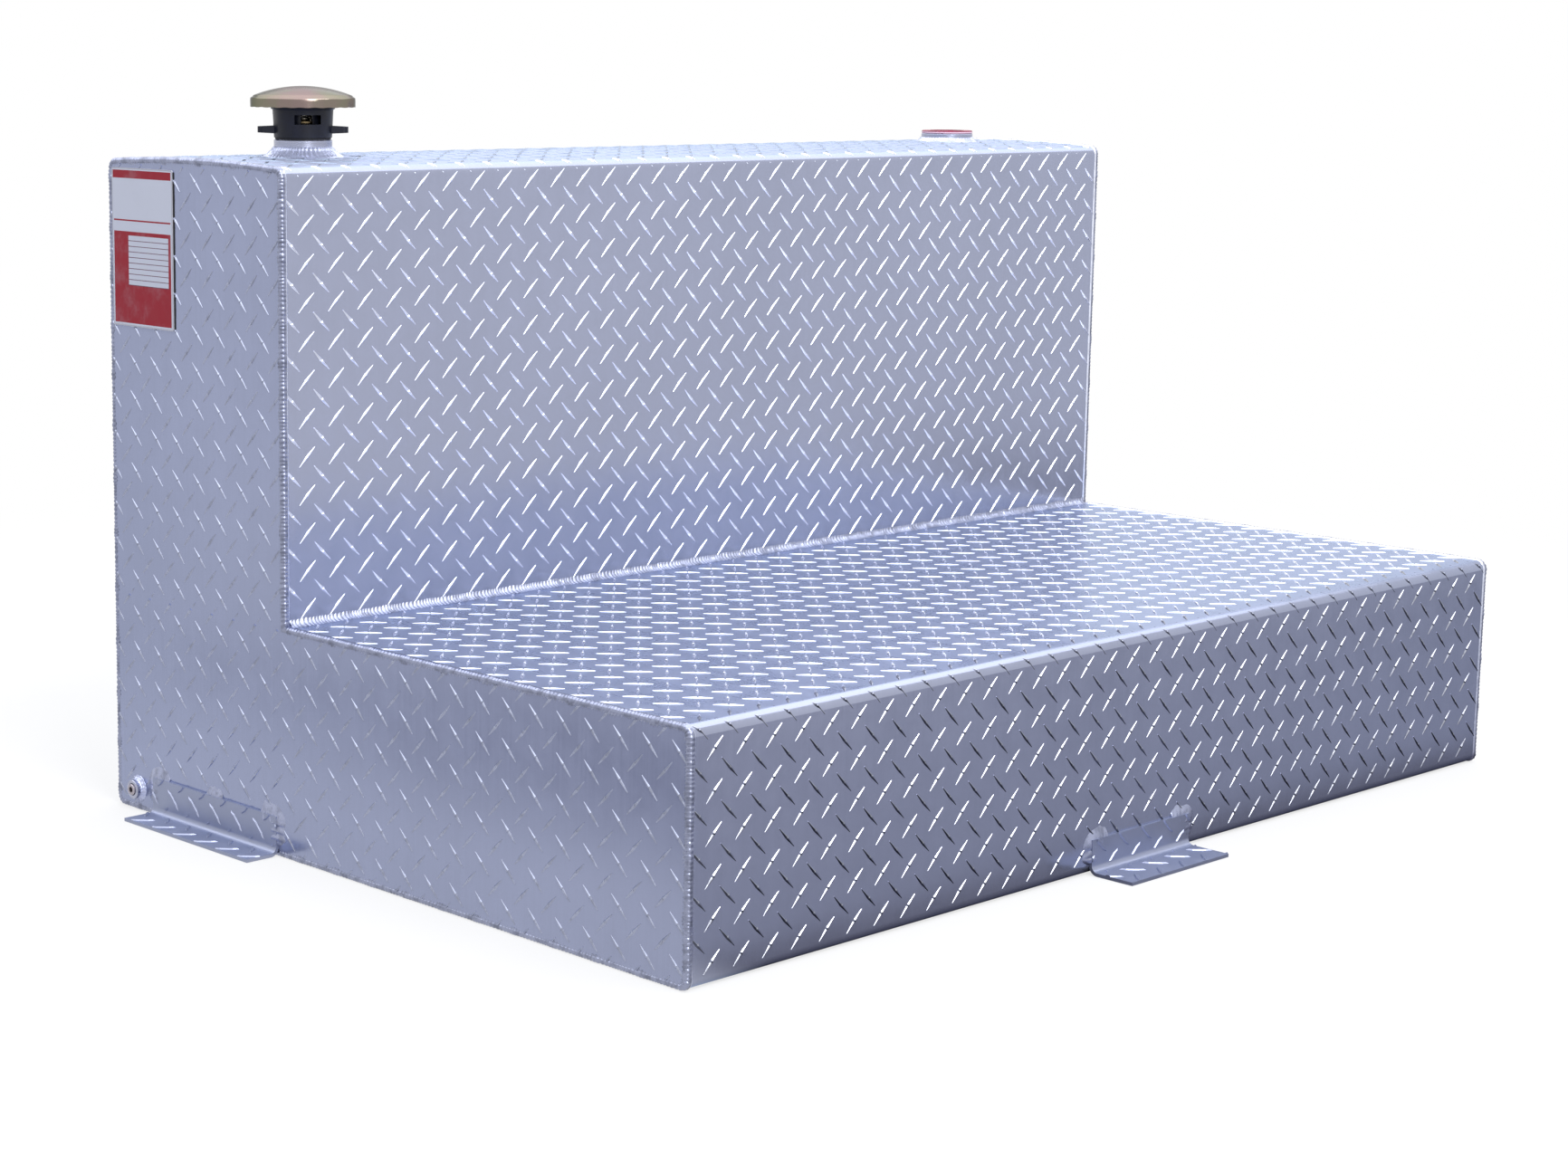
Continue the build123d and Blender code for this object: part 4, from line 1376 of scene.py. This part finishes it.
def label_shadow_strip():
    """A black strip along the label's front edge, between the lugs: a painted shadow of the gap
    under it.
    """
    low, high = boxes["label"]
    inner = low.y + MM
    rings = []
    for i in range(LABEL_SHADOW_STEPS + 1):
        z = low.z + LABEL_SHADOW_END + (high.z - low.z - 2 * LABEL_SHADOW_END) * i / LABEL_SHADOW_STEPS
        wide = LABEL_SHADOW_WIDTH * (1 + LABEL_SHADOW_WAVER * noise.noise(Vector((0, 0, z / LABEL_SHADOW_LUMP))))
        edge = low.y - wide
        profile = (
            (-LABEL_SHADOW_ROOT, edge), (LABEL_SHADOW_LIFT * 0.7, edge), (LABEL_SHADOW_LIFT, edge + LABEL_SHADOW_ROUND),
            (LABEL_SHADOW_LIFT, inner), (-LABEL_SHADOW_ROOT, inner),
        )
        rings.append([Vector((-HALF_WIDTH - lift, y, z)) for lift, y in profile])
    mesh = Mesh()
    mesh.tube(rings)
    piece = mesh.piece("label_shadow_strip", rubber_finish)


label_shadow_strip()

# %% [markdown]
# ## Stage and light
# The photograph shows the tank alone on white. Metal looks like what it mirrors, so what the
# floor shows to the camera and what it shows to a mirror are set apart. To the camera it is pale
# and fades to white, which keeps a soft shadow under the tank. Otherwise it is dim, with a darker
# strip by the front, and white only far off and in a strip at the left, which the sheets mirror.

# %% Floor
FLOOR_DROP = 0.5 * MM
FLOOR_SIZE = 60.0
FLOOR_DIM = (0.21, 0.212, 0.25, 1)
FLOOR_DARK = (0.06, 0.055, 0.08, 1)
WHITE = (1, 1, 1, 1)
# Distances in metres: ahead of the tank's middle, left of it, or from a point before its right.
DARK_STRIP = (0.2, 0.3, 0.4, 0.48)
WHITE_AHEAD = (1.05, 1.4)
WHITE_LEFT = (0.5, 0.62, 0.75, 1.15)
WHITE_LEFT_SHARE = 0.97
WHITE_CENTRE = (0.6, -0.8, 0)
WHITE_BEYOND = (1.7, 2.9)
SHADOW_FADE = (0.9, 2.2)
SHADOW_GLOW = 0.72


def floor_finish():
    """Pale to the camera and white far off; dim to a mirror, but for its white parts."""
    finish = Finish("pale_floor", Roughness=0.9)
    pale = finish.blend(finish.noise(3, 3, 0.6), (0.7, 0.7, 0.71, 1), (0.74, 0.74, 0.75, 1))
    ahead = 0 - finish.axis("Y")
    left = 0 - finish.axis("X")
    near = finish.blend(finish.strip(ahead, DARK_STRIP), FLOOR_DIM, FLOOR_DARK)
    finish.set(Base_Color=finish.blend(finish.ray("Camera"), near, pale))

    def distance(centre):
        inputs = {0: finish.place(), 1: centre}
        return finish.node("ShaderNodeVectorMath", {"operation": "DISTANCE"}, inputs, "Value")

    seen = finish.ray("Camera") * finish.ramp(distance((0, 0, 0)), *SHADOW_FADE, SHADOW_GLOW, 1)
    strip = finish.strip(left, WHITE_LEFT, WHITE_LEFT_SHARE)
    far = finish.ramp(distance(WHITE_CENTRE), *WHITE_BEYOND) + finish.ramp(ahead, *WHITE_AHEAD)
    shown = finish.math_of("MINIMUM", far + strip, 1)
    mirrored = (finish.ray("Glossy") + finish.ray("Transmission")) * shown
    white = finish.node("ShaderNodeEmission", inputs={"Color": WHITE, "Strength": 1.0})
    finish.mix(seen + mirrored, Wire(finish, finish.shader.outputs[0]), white)
    return finish


def lay_floor():
    """A large flat floor just under the tank."""
    half = FLOOR_SIZE / 2
    corners = [(-half, -half), (half, -half), (half, half), (-half, half)]
    data = bpy.data.meshes.new("floor")
    data.from_pydata([(x, y, -FLOOR_DROP) for x, y in corners], [], [(0, 1, 2, 3)])
    data.materials.append(floor_finish().material)
    floor = put_in_scene("floor", data)


lay_floor()
print("floor", FLOOR_SIZE, "m across")

# %% [markdown]
# The world is white too, where it is seen or mirrored. As a light it would wash the shadows away,
# so the rays that only light a surface find it dimmer and a little blue.

# %% World
ROOM_LIGHT = (0.86, 0.9, 1, 1)
ROOM_STRENGTH = 0.35


def white_world():
    """White where it is seen or mirrored, a cooler and dimmer light where it only lights."""
    world = bpy.data.worlds.new("white_room")
    world.use_nodes = True
    bpy.context.scene.world = world
    room = Network(world.node_tree)
    shown = room.ray("Camera") + room.ray("Glossy") + room.ray("Transmission")
    lit = room.node("ShaderNodeBackground", inputs={"Color": ROOM_LIGHT, "Strength": ROOM_STRENGTH})
    white = room.node("ShaderNodeBackground", inputs={"Color": WHITE, "Strength": 1.0})
    room.mix(shown, lit, white)


white_world()
print("world ready")

# %% [markdown]
# Four soft panels light the tank, and each is placed by what mirrors it. Two stand high in front,
# where the lugs that lean one way catch them as glints: one for the front, and one for the riser.
# A faint one at the left does the same for the end, and a large one overhead lights the rest.

# %% Soft panels of light
DAYLIGHT = (1, 1, 0.99)
SKYLIGHT = (0.96, 0.98, 1)


def panel(name, place, target, size, power, colour):
    """A rectangular soft light that faces a target."""
    data = bpy.data.lights.new(name, "AREA")
    data.shape = "RECTANGLE"
    data.size, data.size_y = size
    data.energy = power
    data.color = colour
    lamp = put_in_scene(name, data)
    turn = (Vector(place) - Vector(target)).to_track_quat("Z", "Y")
    lamp.matrix_world = Matrix.Translation(place) @ turn.to_matrix().to_4x4()


panel("front_panel", (-1.55, -3.2, 2.6), (-0.45, 0, 0.4), (1.4, 3.4), 95, DAYLIGHT)
panel("riser_panel", (-0.1, -2.35, 3.5), (-0.1, 0.15, 0.45), (2.6, 1.3), 68, DAYLIGHT)
panel("left_panel", (-2.4, 0.1, 2.7), (-0.6, 0.1, 0.6), (2.2, 0.6), 1.8, SKYLIGHT)
panel("high_panel", (0.6, 1.6, 2.9), (0.6, 1.6, 0), (7, 6.6), 240, SKYLIGHT)
print("four panels")
